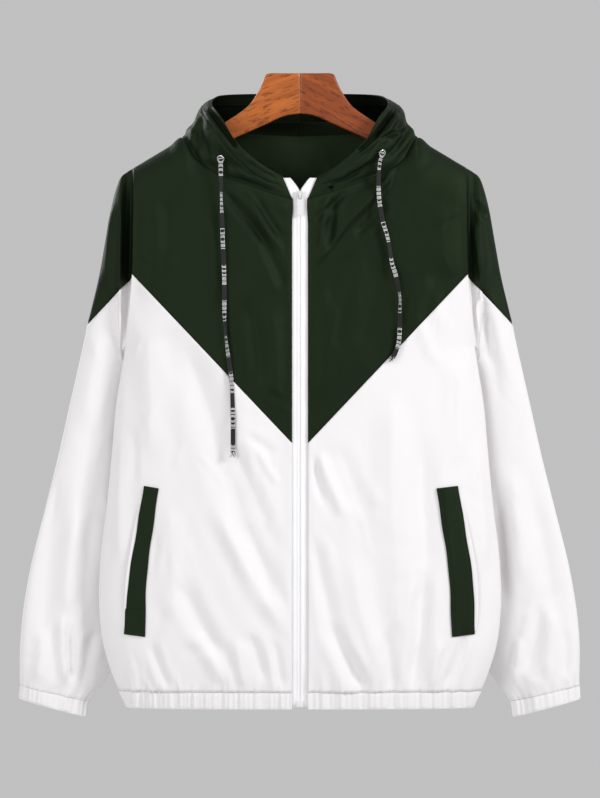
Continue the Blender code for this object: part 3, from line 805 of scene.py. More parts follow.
class Paint:
    """One material and the nodes that feed its shader."""

    def __init__(self, name, **fixed):
        self.material = bpy.data.materials.new(name)
        self.material.use_nodes = True
        self.tree = self.material.node_tree
        self.shader = self.tree.nodes["Principled BSDF"]
        for socket, value in fixed.items():
            self.feed(self.shader.inputs[socket.replace("_", " ")], value)

    def feed(self, socket, value):
        if isinstance(value, Signal):
            self.tree.links.new(value.socket, socket)
        elif isinstance(value, (tuple, list)) and len(value) == 3 and socket.type == "RGBA":
            socket.default_value = (*value, 1.0)
        else:
            socket.default_value = value

    def node(self, kind, settings, inputs, output=0):
        """Any node: its settings first, then the values or links of its sockets."""
        node = self.tree.nodes.new(kind)
        for name, value in settings.items():
            if name == "stops":
                for stop, (place, colour) in zip((*node.color_ramp.elements, *[
                        node.color_ramp.elements.new(0.5) for _ in value[2:]]), value):
                    stop.position = place
                    stop.color = (*colour, 1.0)
            else:
                setattr(node, name, value)
        for name, value in inputs.items():
            self.feed(node.inputs[name], value)
        return Signal(self, node.outputs[output])

    def coordinates(self, kind):
        return self.node("ShaderNodeTexCoord", {}, {}, kind)

    def parts(self, vector):
        node = self.tree.nodes.new("ShaderNodeSeparateXYZ")
        self.feed(node.inputs[0], vector)
        return [Signal(self, output) for output in node.outputs]

    def noise(self, vector, scale, detail=3.0, stretch=(1.0, 1.0, 1.0)):
        placed = self.node("ShaderNodeMapping", {}, {"Vector": vector, "Scale": stretch})
        return self.node("ShaderNodeTexNoise", {}, {"Vector": placed, "Scale": scale, "Detail": detail})

    def mix(self, share, first, second):
        return self.node("ShaderNodeMix", {"data_type": "RGBA"}, {0: share, 6: first, 7: second}, 2)

    def bump(self, height, strength, distance):
        inputs = {"Height": height, "Strength": strength, "Distance": distance * MM}
        self.feed(self.shader.inputs["Normal"], self.node("ShaderNodeBump", {}, inputs))

    def surface(self, **varying):
        for socket, value in varying.items():
            self.feed(self.shader.inputs[socket.replace("_", " ")], value)
        return self.material


def shade(colour, factor):
    return tuple(min(1.0, part * factor) for part in colour)


def cloth_paint(name, colour, roughness, sheen, specular, contrast):
    """Thin plain-woven polyester: fine warp and weft, slight slubs and an uneven tone."""
    tint = shade(colour, 0.9 / max(colour))
    paint = Paint(name, Sheen_Weight=sheen, Sheen_Roughness=0.45, Sheen_Tint=tint, Specular_Tint=tint,
                  Specular_IOR_Level=specular)
    across, along, _ = paint.parts(paint.coordinates("UV"))
    turns = 2.0 * math.pi / (THREAD * MM)
    weave = (across * turns).sine() * (along * turns).sine()
    slubs = paint.noise(paint.coordinates("UV"), 900.0, 2.0, (1.0, 0.25, 1.0))
    crumple = paint.noise(paint.coordinates("Object"), 85.0, 4.0)
    tone = paint.noise(paint.coordinates("Object"), 22.0, 3.0)
    uneven = (tone * 0.7 + slubs * 0.3).held()
    base = paint.mix(uneven, shade(colour, 1.0 - contrast), shade(colour, 1.0 + contrast))
    paint.bump(weave * 0.25 + slubs * 0.35 + crumple * 1.4, 0.35, 0.35)
    return paint.surface(Base_Color=base, Roughness=(tone * 0.14 + (roughness - 0.07)).held())


def tape_paint(name, colour):
    """Woven zip tape: fine ribs along its length and a herringbone across it."""
    paint = Paint(name, Sheen_Weight=0.15, Specular_IOR_Level=0.3)
    across, along, _ = paint.parts(paint.coordinates("UV"))
    ribs = (across * (2.0 * math.pi / (1.1 * MM))).sine()
    bone = ((along + across.size() * 1.5) * (2.0 * math.pi / (0.9 * MM))).sine()
    tone = paint.noise(paint.coordinates("UV"), 260.0, 2.0)
    # The colour is darker in the troughs of the ribs, which is painted shade, and otherwise varies with a
    # random tone.
    base = paint.mix((ribs * 0.3 + tone * 0.7).held(), shade(colour, 0.93), colour)
    paint.bump(ribs * 0.6 + bone * 0.4, 0.4, 0.12)
    return paint.surface(Base_Color=base, Roughness=(tone * 0.2 + 0.6).held())


def cord_paint(name, colour, mark):
    """Black woven tape with groups of small white bars printed along both faces."""
    paint = Paint(name, Sheen_Weight=0.2, Specular_IOR_Level=0.3)
    around, along, _ = paint.parts(paint.coordinates("UV"))
    turns = 2.0 * math.pi / (CORD_ROUND * MM)
    face = (around * turns).sine().size()
    group = (along / (41.0 * MM)).part() < 0.58
    place = (along / (4.76 * MM)).part()
    cell = (along / (4.76 * MM)).floor()
    chance = paint.node("ShaderNodeTexWhiteNoise", {"noise_dimensions": "1D"}, {"W": cell})
    upright = (face < 0.80) * (face > 0.55)
    rungs = ((place < 0.16) * (chance > 0.3) + ((place - 0.37).size() < 0.08)
             + (place > 0.58) * (chance < 0.75))
    middle = (face > 0.55) * (place < 0.72) * (upright + rungs).held()
    wear = paint.noise(paint.coordinates("UV"), 1400.0, 2.0) > 0.36
    weave = (along * (2.0 * math.pi / (0.9 * MM))).sine() * (around * (2.0 * math.pi / (1.3 * MM))).sine()
    paint.bump(weave, 0.5, 0.15)
    return paint.surface(Base_Color=paint.mix(group * middle * wear, colour, mark), Roughness=0.75)


def wood_paint(name, light, dark, fleck, lean):
    """Varnished board: long grain, short dark flecks and a glossy coat."""
    paint = Paint(name, Coat_Weight=0.25, Coat_Roughness=0.2, Specular_IOR_Level=0.25)
    here = paint.node("ShaderNodeMapping", {}, {"Vector": paint.coordinates("Object"),
                                                "Rotation": (0.0, lean, 0.0)})
    grain = paint.noise(here, 26.0, 5.0, (0.35, 3.0, 5.0))
    lines = paint.noise(here, 120.0, 3.0, (0.12, 1.0, 2.4))
    flecks = paint.noise(here, 300.0, 2.0, (0.30, 1.0, 1.6))
    ramp = {"stops": [(0.30, dark), (0.70, light)]}
    base = paint.node("ShaderNodeValToRGB", ramp, {"Fac": (grain * 0.7 + lines * 0.35).held()})
    marks = ((flecks - 0.56) * 9.0).held()
    base = paint.mix(marks * 0.75, base, fleck)
    paint.bump(lines * 0.6 - marks * 0.6, 0.25, 0.25)
    return paint.surface(Base_Color=base, Roughness=(grain * 0.2 + 0.28).held())


def metal_paint(name, colour, metallic, roughness):
    """Plated or lacquered metal with fine handling marks."""
    paint = Paint(name, Metallic=metallic, Coat_Weight=0.2, Coat_Roughness=0.1)
    marks = paint.noise(paint.coordinates("Object"), 900.0, 3.0, (1.0, 1.0, 0.3))
    base = paint.mix(marks, shade(colour, 0.9), colour)
    paint.bump(marks, 0.15, 0.05)
    return paint.surface(Base_Color=base, Roughness=(marks * 0.16 + (roughness - 0.08)).held())


# ---------------------------------------------------------------- pieces

def make_piece(name, mesh, paint, replaces=()):
    """Turn a bmesh into a piece of the jacket that stands for the nodes it replaces."""
    data = bpy.data.meshes.new(name)
    mesh.to_mesh(data)
    mesh.free()
    data.shade_smooth()
    piece = bpy.data.objects.new(name, data)
    bpy.context.scene.collection.objects.link(piece)
    data.materials.append(paint)
    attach(piece, BODY)
    if replaces:
        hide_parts(*replaces)
    return piece


def thicken(piece, thickness, offset=-1.0):
    wall = piece.modifiers.new("wall", "SOLIDIFY")
    wall.thickness = thickness * MM
    wall.offset = offset
    wall.use_quality_normals = True


def round_edges(piece, width, segments=2, angle=0.7):
    edge = piece.modifiers.new("edge", "BEVEL")
    edge.width = width * MM
    edge.segments = segments
    edge.limit_method = "ANGLE"
    edge.angle_limit = angle


def add_box(mesh, centre, sizes):
    """A box of these sizes added to a mesh, in millimetres."""
    stretch = Matrix.Diagonal((*(size * MM for size in sizes), 1.0))
    bmesh.ops.create_cube(mesh, size=1.0, matrix=Matrix.Translation(Vector(centre) * MM) @ stretch)


def soften(mesh, edges, width, segments):
    bmesh.ops.bevel(mesh, geom=edges, offset=width * MM, affect="EDGES", segments=segments, profile=0.5,
                    material=-1)


def cut(mesh, point, direction):
    """Cut a sheet with a plane and keep the part behind the plane's direction."""
    parts = mesh.verts[:] + mesh.edges[:] + mesh.faces[:]
    bmesh.ops.bisect_plane(mesh, geom=parts, dist=1e-7, plane_co=Vector(point) * MM,
                           plane_no=Vector(direction).normalized(), clear_outer=True)


def cut_chevron(mesh, sign, above):
    """Keep the part of a body panel above or below the colour seam on one side of the middle."""
    way = 1.0 if above else -1.0
    tip = (sign * ZIP_EDGE, 0.0, CHEVRON_TIP_Z + way * SEAM_GAP / 2.0)
    cut(mesh, tip, Vector((sign * CHEVRON_SLOPE, 0.0, -1.0)) * way)


def declare_cloth(width, length, share):
    """Work out the cloth a piece was cut from: the rectangle times the share of it that the pattern takes.
    The result is not kept.
    """
    flat = (width * MM, length * MM)
    flat[0] * flat[1] * share


def stitch_mesh(lines, wide=0.42):
    """Sewing thread as short raised bars along lines of points that lie on the cloth."""
    mesh = bmesh.new()
    for points in lines:
        points = np.asarray(points)
        steps = np.linalg.norm(np.diff(points, axis=0), axis=1)
        way = np.concatenate(([0.0], np.cumsum(steps)))
        for start in np.arange(0.5, way[-1] - STITCH_LONG, STITCH_LONG + STITCH_PAUSE):
            a, b = [Vector([np.interp(s, way, points[:, axis]) for axis in range(3)])
                    for s in (start, start + STITCH_LONG)]
            turn = Vector((1.0, 0.0, 0.0)).rotation_difference(b - a).to_matrix().to_4x4()
            place = Matrix.Translation((a + b) / 2.0 * MM) @ turn @ Matrix.Diagonal(
                (STITCH_LONG * MM, wide * MM, wide * 0.7 * MM, 1.0))
            bmesh.ops.create_cube(mesh, size=1.0, matrix=place)
    return mesh


class JacketSettings(bpy.types.PropertyGroup):
    """Sizes and colours of the jacket that a user would change."""
    wall: bpy.props.FloatProperty(name="Cloth wall", description="Thickness of the cloth in millimetres",
                                  default=0.5, min=0.1, max=1.0)
    green: bpy.props.FloatVectorProperty(name="Green", description="Colour of the yoke, hood and welts",
                                         subtype="COLOR", size=3, default=(0.0066, 0.0104, 0.0053))
    white: bpy.props.FloatVectorProperty(name="White", description="Colour of the body and sleeves",
                                         subtype="COLOR", size=3, default=(0.87, 0.853, 0.860))
    cord: bpy.props.FloatVectorProperty(name="Cord", description="Colour of the drawstrings",
                                        subtype="COLOR", size=3, default=(0.010, 0.011, 0.010))
    nickel: bpy.props.FloatVectorProperty(name="Eyelets", description="Colour of the eyelets",
                                          subtype="COLOR", size=3, default=(0.74, 0.73, 0.71))


class StudioSettings(bpy.types.PropertyGroup):
    """Camera, lights and ground."""
    distance: bpy.props.FloatProperty(name="Camera distance", description="From the camera to the jacket",
                                      default=4.5, unit="LENGTH")
    view_height: bpy.props.FloatProperty(name="View height", description="Height that the picture spans",
                                         default=0.90972, unit="LENGTH")
    centre_z: bpy.props.FloatProperty(name="View centre", description="Height of the middle of the picture",
                                      default=-0.3728, unit="LENGTH")
    ground: bpy.props.FloatProperty(name="Backdrop grey", description="Linear value of the plain backdrop",
                                    default=0.53, min=0.0, max=1.0)
    key: bpy.props.FloatProperty(name="Key light", description="Power of the main light", default=56.0,
                                 unit="POWER")
    fill: bpy.props.FloatProperty(name="Fill light", description="Power of the fill light", default=33.0,
                                  unit="POWER")
    back: bpy.props.FloatProperty(name="Back light", description="Power of the light behind", default=42.0,
                                  unit="POWER")
    floor_z: bpy.props.FloatProperty(name="Floor", description="Height of the floor under the jacket",
                                     default=-1.25, unit="LENGTH")


def paint_named(name, maker):
    """The material of this name, made the first time it is asked for."""
    return bpy.data.materials.get(name) or maker(name)


def green_cloth():
    colour = tuple(bpy.context.scene.jacket.green)
    return paint_named("deep green polyester",
                       lambda name: cloth_paint(name, colour, 0.50, 0.0, 0.20, 0.12))


def green_inner_side_shaded():
    # The inner side is darker than the outer green (0.85 of it): painted shade for the shadowed inside of
    # the hood. Its low gloss stands for the duller inner face of the cloth.
    colour = shade(bpy.context.scene.jacket.green, 0.85)
    return paint_named("green polyester, inner side",
                       lambda name: cloth_paint(name, colour, 0.6, 0.0, 0.03, 0.10))


def line_and_shade_inside(piece):
    """Give the inner face of a thickened green piece a duller copy of the green cloth, darkened with painted
    shade.
    """
    piece.data.materials.append(green_inner_side_shaded())
    piece.modifiers["wall"].material_offset = 1


def white_cloth():
    colour = tuple(bpy.context.scene.jacket.white)
    return paint_named("white polyester", lambda name: cloth_paint(name, colour, 0.6, 0.05, 0.3, 0.012))


def green_thread():
    return paint_named("green thread", lambda name: metal_paint(name, (0.010, 0.015, 0.008), 0.0, 0.7))


def white_thread():
    return paint_named("white thread", lambda name: metal_paint(name, (0.80, 0.79, 0.80), 0.0, 0.6))


def white_lacquer():
    return paint_named("white lacquer", lambda name: metal_paint(name, (0.84, 0.83, 0.84), 0.0, 0.3))


class JACKET_OT_studio(bpy.types.Operator):
    """Set the camera, the lights, the plain backdrop and the floor"""
    bl_idname = "jacket.studio"
    bl_label = "Studio"

    def execute(self, context):
        scene, studio = context.scene, context.scene.jacket_studio
        scene.view_settings.view_transform = "Standard"
        lens = bpy.data.cameras.new("studio_camera")
        lens.sensor_width = 36.0
        lens.lens = lens.sensor_width * (studio.distance - 0.02) / studio.view_height
        camera = bpy.data.objects.new("studio_camera", lens)
        camera.location = (0.0, -studio.distance, studio.centre_z)
        camera.rotation_euler = (math.pi / 2.0, 0.0, 0.0)
        scene.collection.objects.link(camera)
        scene.camera = camera
        world = bpy.data.worlds.new("studio_backdrop")
        world.use_nodes = True
        background = world.node_tree.nodes["Background"]
        background.inputs["Color"].default_value = (studio.ground, studio.ground, studio.ground * 1.01, 1.0)
        scene.world = world
        aim = Vector((0.0, 0.0, -0.35))
        for name, place, size, power in (("key_light", (2.4, -1.8, 1.0), 0.9, studio.key),
                                         ("fill_light", (-1.9, -2.6, 0.3), 1.4, studio.fill),
                                         ("back_light", (-2.2, 2.0, 0.9), 1.0, studio.back)):
            lamp = bpy.data.lights.new(name, "AREA")
            lamp.size = size
            lamp.energy = power
            light = bpy.data.objects.new(name, lamp)
            light.location = place
            light.rotation_euler = (aim - Vector(place)).to_track_quat("-Z", "Y").to_euler()
            scene.collection.objects.link(light)
        floor = bmesh.new()
        bmesh.ops.create_grid(floor, x_segments=2, y_segments=2, size=1.6)
        bmesh.ops.translate(floor, verts=floor.verts, vec=(0.0, 0.0, studio.floor_z))
        data = bpy.data.meshes.new("studio_floor")
        floor.to_mesh(data)
        floor.free()
        ground = bpy.data.objects.new("studio_floor", data)
        paint = Paint("pale floor", Roughness=0.9)
        tone = paint.noise(paint.coordinates("Object"), 6.0, 2.0)
        grey = paint.mix(tone, (0.60, 0.60, 0.60), (0.64, 0.64, 0.64))
        data.materials.append(paint.surface(Base_Color=grey))
        scene.collection.objects.link(ground)
        return {"FINISHED"}


def cord_path(side):
    """Middle line of a drawstring, out of its eyelet and down the front, in millimetres."""
    corner = np.array(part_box(f"drawstring_{side}")) / MM
    exit_y = corner[1][1] - CORD_WIDTH / 2.0
    eye_x, eye_z = EYELETS[side]
    points = [(eye_x, exit_y + 3.4, eye_z + 0.4), (eye_x, exit_y + 0.9, eye_z - 0.2)]
    for x, z in CORD_ROUTES[side]:
        inside = z > float(top_z(FRONT, x))
        y = exit_y if inside else min(-float(body_depth(FRONT, x, z)) - CORD_LIFT, exit_y)
        points.append((x, y, z))
    return np.array(points)


class JACKET_OT_drawstrings(bpy.types.Operator):
    """Hang the two flat drawstrings, with their frayed ends"""
    bl_idname = "jacket.drawstrings"
    bl_label = "Drawstrings"

    def execute(self, context):
        colour = tuple(context.scene.jacket.cord)
        woven = cord_paint("printed black tape", colour, (0.72, 0.72, 0.72))
        for side, sign in SIDES.items():
            knots = cord_path(side)
            path = Table("step x y z", [(step, *point) for step, point in enumerate(knots)])
            last = len(knots) - 1

            def middle(v):
                here = path.at(v * last)
                return np.stack((here.x, here.y, here.z), axis=-1)

            shares = np.linspace(0.0, 1.0, 120)
            line = middle(shares)
            way = np.concatenate(([0.0], np.cumsum(np.linalg.norm(np.diff(line, axis=0), axis=1))))
            length = way[-1]

            def centres(v):
                return middle(np.interp(v * length, way, shares))

            def place(u, v):
                share = np.interp(v * length, way, shares)
                centre = centres(v)
                ahead = middle(np.clip(share + 0.002, 0, 1)) - middle(np.clip(share - 0.002, 0, 1))
                ahead /= np.linalg.norm(ahead, axis=-1, keepdims=True)
                twist = 0.55 * np.sin(v * length / 17.0 + sign) + 0.45 * np.sin(v * length / 41.0)
                flat = np.stack((np.cos(twist), np.sin(twist), np.zeros_like(twist)), axis=-1)
                flat -= ahead * np.sum(flat * ahead, axis=-1, keepdims=True)
                flat /= np.linalg.norm(flat, axis=-1, keepdims=True)
                thin = np.cross(flat, ahead)
                turn = (2.0 * math.pi * u)[..., None]
                cosine, sine = np.cos(turn), np.sin(turn)
                wide = np.sign(cosine) * np.abs(cosine) ** 0.6 * CORD_WIDTH / 2.0
                deep = np.sign(sine) * np.abs(sine) ** 0.6 * CORD_THICK / 2.0
                return centre + flat * wide + thin * deep

            tube = Sheet(place, flat_relief, 1, wraps=True)
            rows = int(length / 1.6)
            rings = centres(np.linspace(0.0, 1.0, rows + 1))
            mesh = tube.mesh(16, rows, (CORD_ROUND, length))
            ends = [edge for edge in mesh.edges if edge.is_boundary]
            bmesh.ops.holes_fill(mesh, edges=ends, sides=0)
            bmesh.ops.recalc_face_normals(mesh, faces=mesh.faces)
            cord = make_piece(f"woven_drawstring_{side}", mesh, woven, [f"drawstring_{side}"])
            fray = self.fray(side, line[-1], line[-1] - line[-4], woven)
        return {"FINISHED"}

    def fray(self, side, end, ahead, woven):
        """A tuft of cut threads, half of them white, at the end of a drawstring."""
        chance = np.random.RandomState(5 if side == "left" else 6)
        mesh = bmesh.new()
        down = Vector(ahead).normalized()
        for strand in range(26):
            way = (down + Vector(chance.uniform(-0.42, 0.42, 3))).normalized()
            long = chance.uniform(3.0, 7.5)
            root = Vector(end) + Vector((chance.uniform(-2.1, 2.1), chance.uniform(-0.4, 0.4), 0.8))
            turn = Vector((0.0, 0.0, 1.0)).rotation_difference(way).to_matrix().to_4x4()
            pose = Matrix.Translation((root + way * long / 2) * MM) @ turn
            made = bmesh.ops.create_cone(mesh, cap_ends=True, segments=5, radius1=0.34 * MM,
                                         radius2=0.10 * MM, depth=long * MM, matrix=pose)
            for face in {face for vertex in made["verts"] for face in vertex.link_faces}:
                face.material_index = strand % 2
        piece = make_piece(f"drawstring_fray_{side}", mesh, woven)
        piece.data.materials.append(white_thread())
        return piece


class JACKET_OT_fronts(bpy.types.Operator):
    """Sew the two fronts: green yokes over white bodies, meeting at the zip"""
    bl_idname = "jacket.fronts"
    bl_label = "Fronts"

    def execute(self, context):
        wall = context.scene.jacket.wall
        for side, sign in SIDES.items():
            sheet = panel_sheet(FRONT, side, None, HEM_SEAM_Z)
            for name, above, paint, slot in (("front_yoke", True, green_cloth(), "green_cloth"),
                                             ("front_body", False, white_cloth(), "white_cloth")):
                mesh = sheet.mesh(150, 170, (200.0, 590.0))
                cut_chevron(mesh, sign, above)
                piece = make_piece(f"{name}_cloth_{side}", mesh, paint, [f"{name}_{side}"])
                thicken(piece, wall)
                if above:
                    declare_cloth(200, 360, 0.56)
                else:
                    declare_cloth(250, 480, 0.72)
        return {"FINISHED"}


class JACKET_OT_back(bpy.types.Operator):
    """Sew the back: a green yoke over a white body, with the same chevron"""
    bl_idname = "jacket.back"
    bl_label = "Back"

    def execute(self, context):
        wall = context.scene.jacket.wall
        sheet = panel_sheet(BACK, None, None, HEM_SEAM_Z)
        for name, above, paint, slot in (("back_yoke", True, green_cloth(), "green_cloth"),
                                         ("back_body", False, white_cloth(), "white_cloth")):
            halves = []
            for sign in SIDES.values():
                mesh = sheet.mesh(250, 110, (430.0, 640.0))
                cut(mesh, (0.0, 0.0, 0.0), (-sign, 0.0, 0.0))
                cut_chevron(mesh, sign, above)
                halves.append(mesh)
            data = bpy.data.meshes.new("back_half")
            halves[0].to_mesh(data)
            halves[1].from_mesh(data)
            halves[0].free()
            bpy.data.meshes.remove(data)
            bmesh.ops.remove_doubles(halves[1], verts=halves[1].verts, dist=MERGE)
            piece = make_piece(f"{name}_cloth", halves[1], paint, [name])
            thicken(piece, wall)
            if above:
                declare_cloth(400, 370, 0.69)
            else:
                declare_cloth(500, 480, 0.76)
        return {"FINISHED"}


class JACKET_OT_sleeves(bpy.types.Operator):
    """Sew the sleeves: a green cap over a white sleeve"""
    bl_idname = "jacket.sleeves"
    bl_label = "Sleeves"

    def execute(self, context):
        wall = context.scene.jacket.wall
        for side, sign in SIDES.items():
            sheet = tube_sheet(side, 0.0, CUFF_ROW)
            line = Vector((sign * ARMHOLE_X, 0.0, CHEVRON_SIDE_Z))
            upward = Vector((sign * CAP_SLOPE, 0.0, 1.0))
            for name, way, paint, slot in (("sleeve_cap", -1.0, green_cloth(), "green_cloth"),
                                           ("sleeve", 1.0, white_cloth(), "white_cloth")):
                mesh = sheet.mesh(120, 156, (290.0, 620.0))
                cut(mesh, line - Vector((0.0, 0.0, way * SEAM_GAP / 2.0)), upward * way)
                piece = make_piece(f"{name}_cloth_{side}", mesh, paint, [f"{name}_{side}"])
                thicken(piece, wall)
                if name == "sleeve":
                    declare_cloth(400, 560, 0.49)
                else:
                    declare_cloth(230, 150, 0.45)
        return {"FINISHED"}


class JACKET_OT_bands(bpy.types.Operator):
    """Gather the elastic hem and cuffs"""
    bl_idname = "jacket.bands"
    bl_label = "Hem and cuffs"

    def execute(self, context):
        for side in SIDES:
            hem = panel_sheet(FRONT, side, HEM_SEAM_Z - 0.05, HEM_Z).mesh(200, 18, (200.0, BAND_DEPTH))
            self.band(f"hem_front_cloth_{side}", hem, f"hem_front_{side}", 215, 20)
            cuff = tube_sheet(side, CUFF_ROW + 0.003, CUFF_ROW + 1.0).mesh(200, 18, (172.0, BAND_DEPTH))
            self.band(f"cuff_cloth_{side}", cuff, f"cuff_{side}", 175, 19.5)
        hem = panel_sheet(BACK, None, HEM_SEAM_Z - 0.05, HEM_Z).mesh(330, 16, (410.0, BAND_DEPTH))
        self.band("hem_back_cloth", hem, "hem_back", 440, 20)
        return {"FINISHED"}

    def band(self, name, mesh, node, width, length):
        """A band of doubled cloth over its elastic."""
        piece = make_piece(name, mesh, white_cloth(), [node])
        thicken(piece, BAND_WALL)
        round_edges(piece, 0.4)
        declare_cloth(width, length, 0.98)


class JACKET_OT_hood(bpy.types.Operator):
    """Sew the two-piece hood, thrown back, with the facing inside its rim"""
    bl_idname = "jacket.hood"
    bl_label = "Hood"

    def execute(self, context):
        wall = context.scene.jacket.wall
        for side in SIDES:
            sheet = hood_sheet(side)
            mesh = sheet.mesh(176, 96, (420.0, 330.0),
                              warp=lambda u, v: (HOOD_TURNS * u * (0.75 + 0.25 * u), v))
            piece = make_piece(f"hood_cloth_{side}", mesh, green_cloth(), [f"hood_{side}"])
            thicken(piece, wall)
            # The inner faces of the hood and its facing take the darker green: painted shade.
            line_and_shade_inside(piece)
            declare_cloth(340, 290, 0.62)

            def strip(u, v):
                turn = 1.3 + (HOOD_TURNS - 1.3) * u
                return turn, 1.0 - casing_share(side, turn) * (1.0 - v)

            band = sheet.mesh(140, 10, (420.0, CASING), lift=-0.55, warp=strip)
            piece = make_piece(f"hood_facing_cloth_{side}", band, green_cloth(),
                               [f"hood_facing_{side}"])
            thicken(piece, 0.5)
            line_and_shade_inside(piece)
            declare_cloth(330, 14, 1.0)
        return {"FINISHED"}


class JACKET_OT_zip(bpy.types.Operator):
    """Weave the zip tapes, wind the coil behind them and finish the slider and its pull"""
    bl_idname = "jacket.zip"
    bl_label = "Zip"

    def execute(self, context):
        # The tape is whiter than the body cloth to make up for the shade of its recess behind the fronts:
        # painted light.
        tape_painted_lighter = tape_paint("white zip tape", (0.99, 0.98, 0.99))
        for side, sign in SIDES.items():
            def place(u, v):
                z = ZIP_END_Z + (ZIP_TOP_Z - ZIP_END_Z) * v ** 0.8
                tape = TAPE.at(z)
                x = sign * (tape.inner + (tape.outer - tape.inner) * u)
                return np.stack((x, tape_y(z), z), axis=-1)

            def relief(point, u, v):
                across = u * 14.0
                ridge = 0.55 * np.exp(-((across - 1.7) / 1.1) ** 2)
                ridge = ridge - 0.30 * np.exp(-((across - 4.4) / 0.6) ** 2)
                wave = 0.18 * np.sin(point[..., 2] / 9.0 + sign) * smooth(across / 6.0)
                return ridge + wave

            tape = Sheet(place, relief, sign).mesh(14, 300, (14.0, 603.0))
            piece = make_piece(f"zip_tape_weave_{side}", tape, tape_painted_lighter, [f"zip_tape_{side}"])
            thicken(piece, 0.5)
            declare_cloth(14, 612, 1.0)
            coil = bmesh.new()
            levels = np.arange(ZIP_END_Z + 4.0, ZIP_TOP_Z - 1.0, 1.3) + 0.325 * sign
            edge = sign * (TAPE.at(levels).inner + 0.75)
            for tooth in np.stack((edge, tape_y(levels) + 0.75, levels), axis=-1):
                add_box(coil, tooth, (2.7, 1.2, 0.62))
            soften(coil, coil.edges[:], 0.14, 1)
            make_piece(f"zip_coil_{side}", coil, white_lacquer())
        for node in ("zip_slider", "zip_pull"):
            for part in bpy.data.objects[node].material_slots:
                part.material = white_lacquer()
        box = bmesh.new()
        add_box(box, (0.0, float(tape_y(ZIP_BOX_Z)[0]) - 0.9, ZIP_BOX_Z), (8.0, 1.6, 7.5))
        soften(box, box.edges[:], 0.6, 3)
        make_piece("zip_box", box, white_lacquer())
        return {"FINISHED"}


class JACKET_OT_welts(bpy.types.Operator):
    """Sew the pocket welts and the pocket edge that shows beside each"""
    bl_idname = "jacket.welts"
    bl_label = "Pocket welts"

    def execute(self, context):
        for side, sign in SIDES.items():
            front = body_sheet(FRONT, side)
            scale = WELT_SCALE[side]

            def pocket(z):
                """Middle line and half width of the pocket at a height."""
                row = WELT.at(z)
                middle = (row.inner + row.outer) / 2.0 - WELT_SHIFT[side]
                return middle, (row.outer - row.inner) / 2.0 * scale

            def spots(u, v):
                z = WELT_LOW + (WELT_HIGH - WELT_LOW) * v
                middle, half = pocket(z)
                wider = 1.12 - 0.22 * v if side == "left" else 1.0 - 0.06 * (2.0 * v - 1.0) ** 2
                step = 1.3 * smooth((-612.0 - z) / 2.0) * (side == "left")
                sway = 0.5 * np.sin(z / 19.0) + 0.3 * np.sin(z / 8.0 + 2.0 * u)
                across = middle + (2.0 * u - 1.0) * (half * wider) + step * u + sway
                return sign * across, z + 2.8 * (u - 0.5)

            def place(u, v):
                x, z = spots(u, v)
                return front.at(x, z, 0.55)

            def relief(point, u, v):
                edge = np.minimum(u, 1.0 - u) * 19.0
                pressed = seam(edge - 1.8, 0.25, 0.15)
                seat = -0.35 * np.exp(-((point[..., 2] + 613.0) / 1.2) ** 2) * (side == "left")
                return pressed + seat + drape(point[..., 0] * 2.0, point[..., 2] * 1.6, 7, 0.16)

            welt = Sheet(place, relief, sign)
            mesh = welt.mesh(20, 130, (19.0, 170.0))
            piece = make_piece(f"welt_cloth_{side}", mesh, green_cloth(), [f"welt_{side}"])
            thicken(piece, 1.3, offset=1.0)
            round_edges(piece, 0.55, 3, 1.0)
            declare_cloth(21 * scale, 171, 0.94)
            margin = 1.9 / 19.0
            v = np.linspace(0.012, 0.988, 90)
            lines = [welt.at(np.full_like(v, place), v, 1.42) for place in (margin, 1.0 - margin)]
            u = np.linspace(margin, 1.0 - margin, 14)
            lines += [welt.at(u, np.full_like(u, place), 1.42) for place in (0.012, 0.988)]
            stitches = stitch_mesh(lines, wide=0.34)
            make_piece(f"welt_stitches_{side}", stitches, green_thread())

            def lip(u, v):
                z = WELT_LOW + 4.0 + (WELT_HIGH - WELT_LOW - 12.0) * v
                edge = sum(pocket(z))
                bulge = (4.6 if side == "left" else 6.2) * np.sin(np.pi * v ** 0.8) ** 0.8
                beyond = (5.0 + bulge) * u - 5.0
                lift = 0.3 + 1.4 * smooth(beyond / 3.0) * np.sin(np.pi * v)
                return front.at(sign * (edge + beyond), z, lift)

            strip = Sheet(lip, flat_relief, sign).mesh(8, 120, (8.0, 157.0))
            piece = make_piece(f"pocket_edge_{side}", strip, white_cloth())
            thicken(piece, 0.5, offset=1.0)
            declare_cloth(10.6, 160, 0.82)
        return {"FINISHED"}


def nearest_on_hood(side, x, z):
    """The hood's station and rise that show at a place in front view, found by halving steps."""
    best, step = np.array((3.4, 0.5)), 0.5
    trials = np.array([(a, b * 0.5) for a in (-1, 0, 1) for b in (-1, 0, 1)])
    while step > 1e-3:
        tried = best + trials * step
        points = hood_point(side, tried[:, 0], tried[:, 1])
        best = tried[int(np.argmin(np.hypot(points[:, 0] - x, points[:, 2] - z)))]
        step *= 0.7
    return best


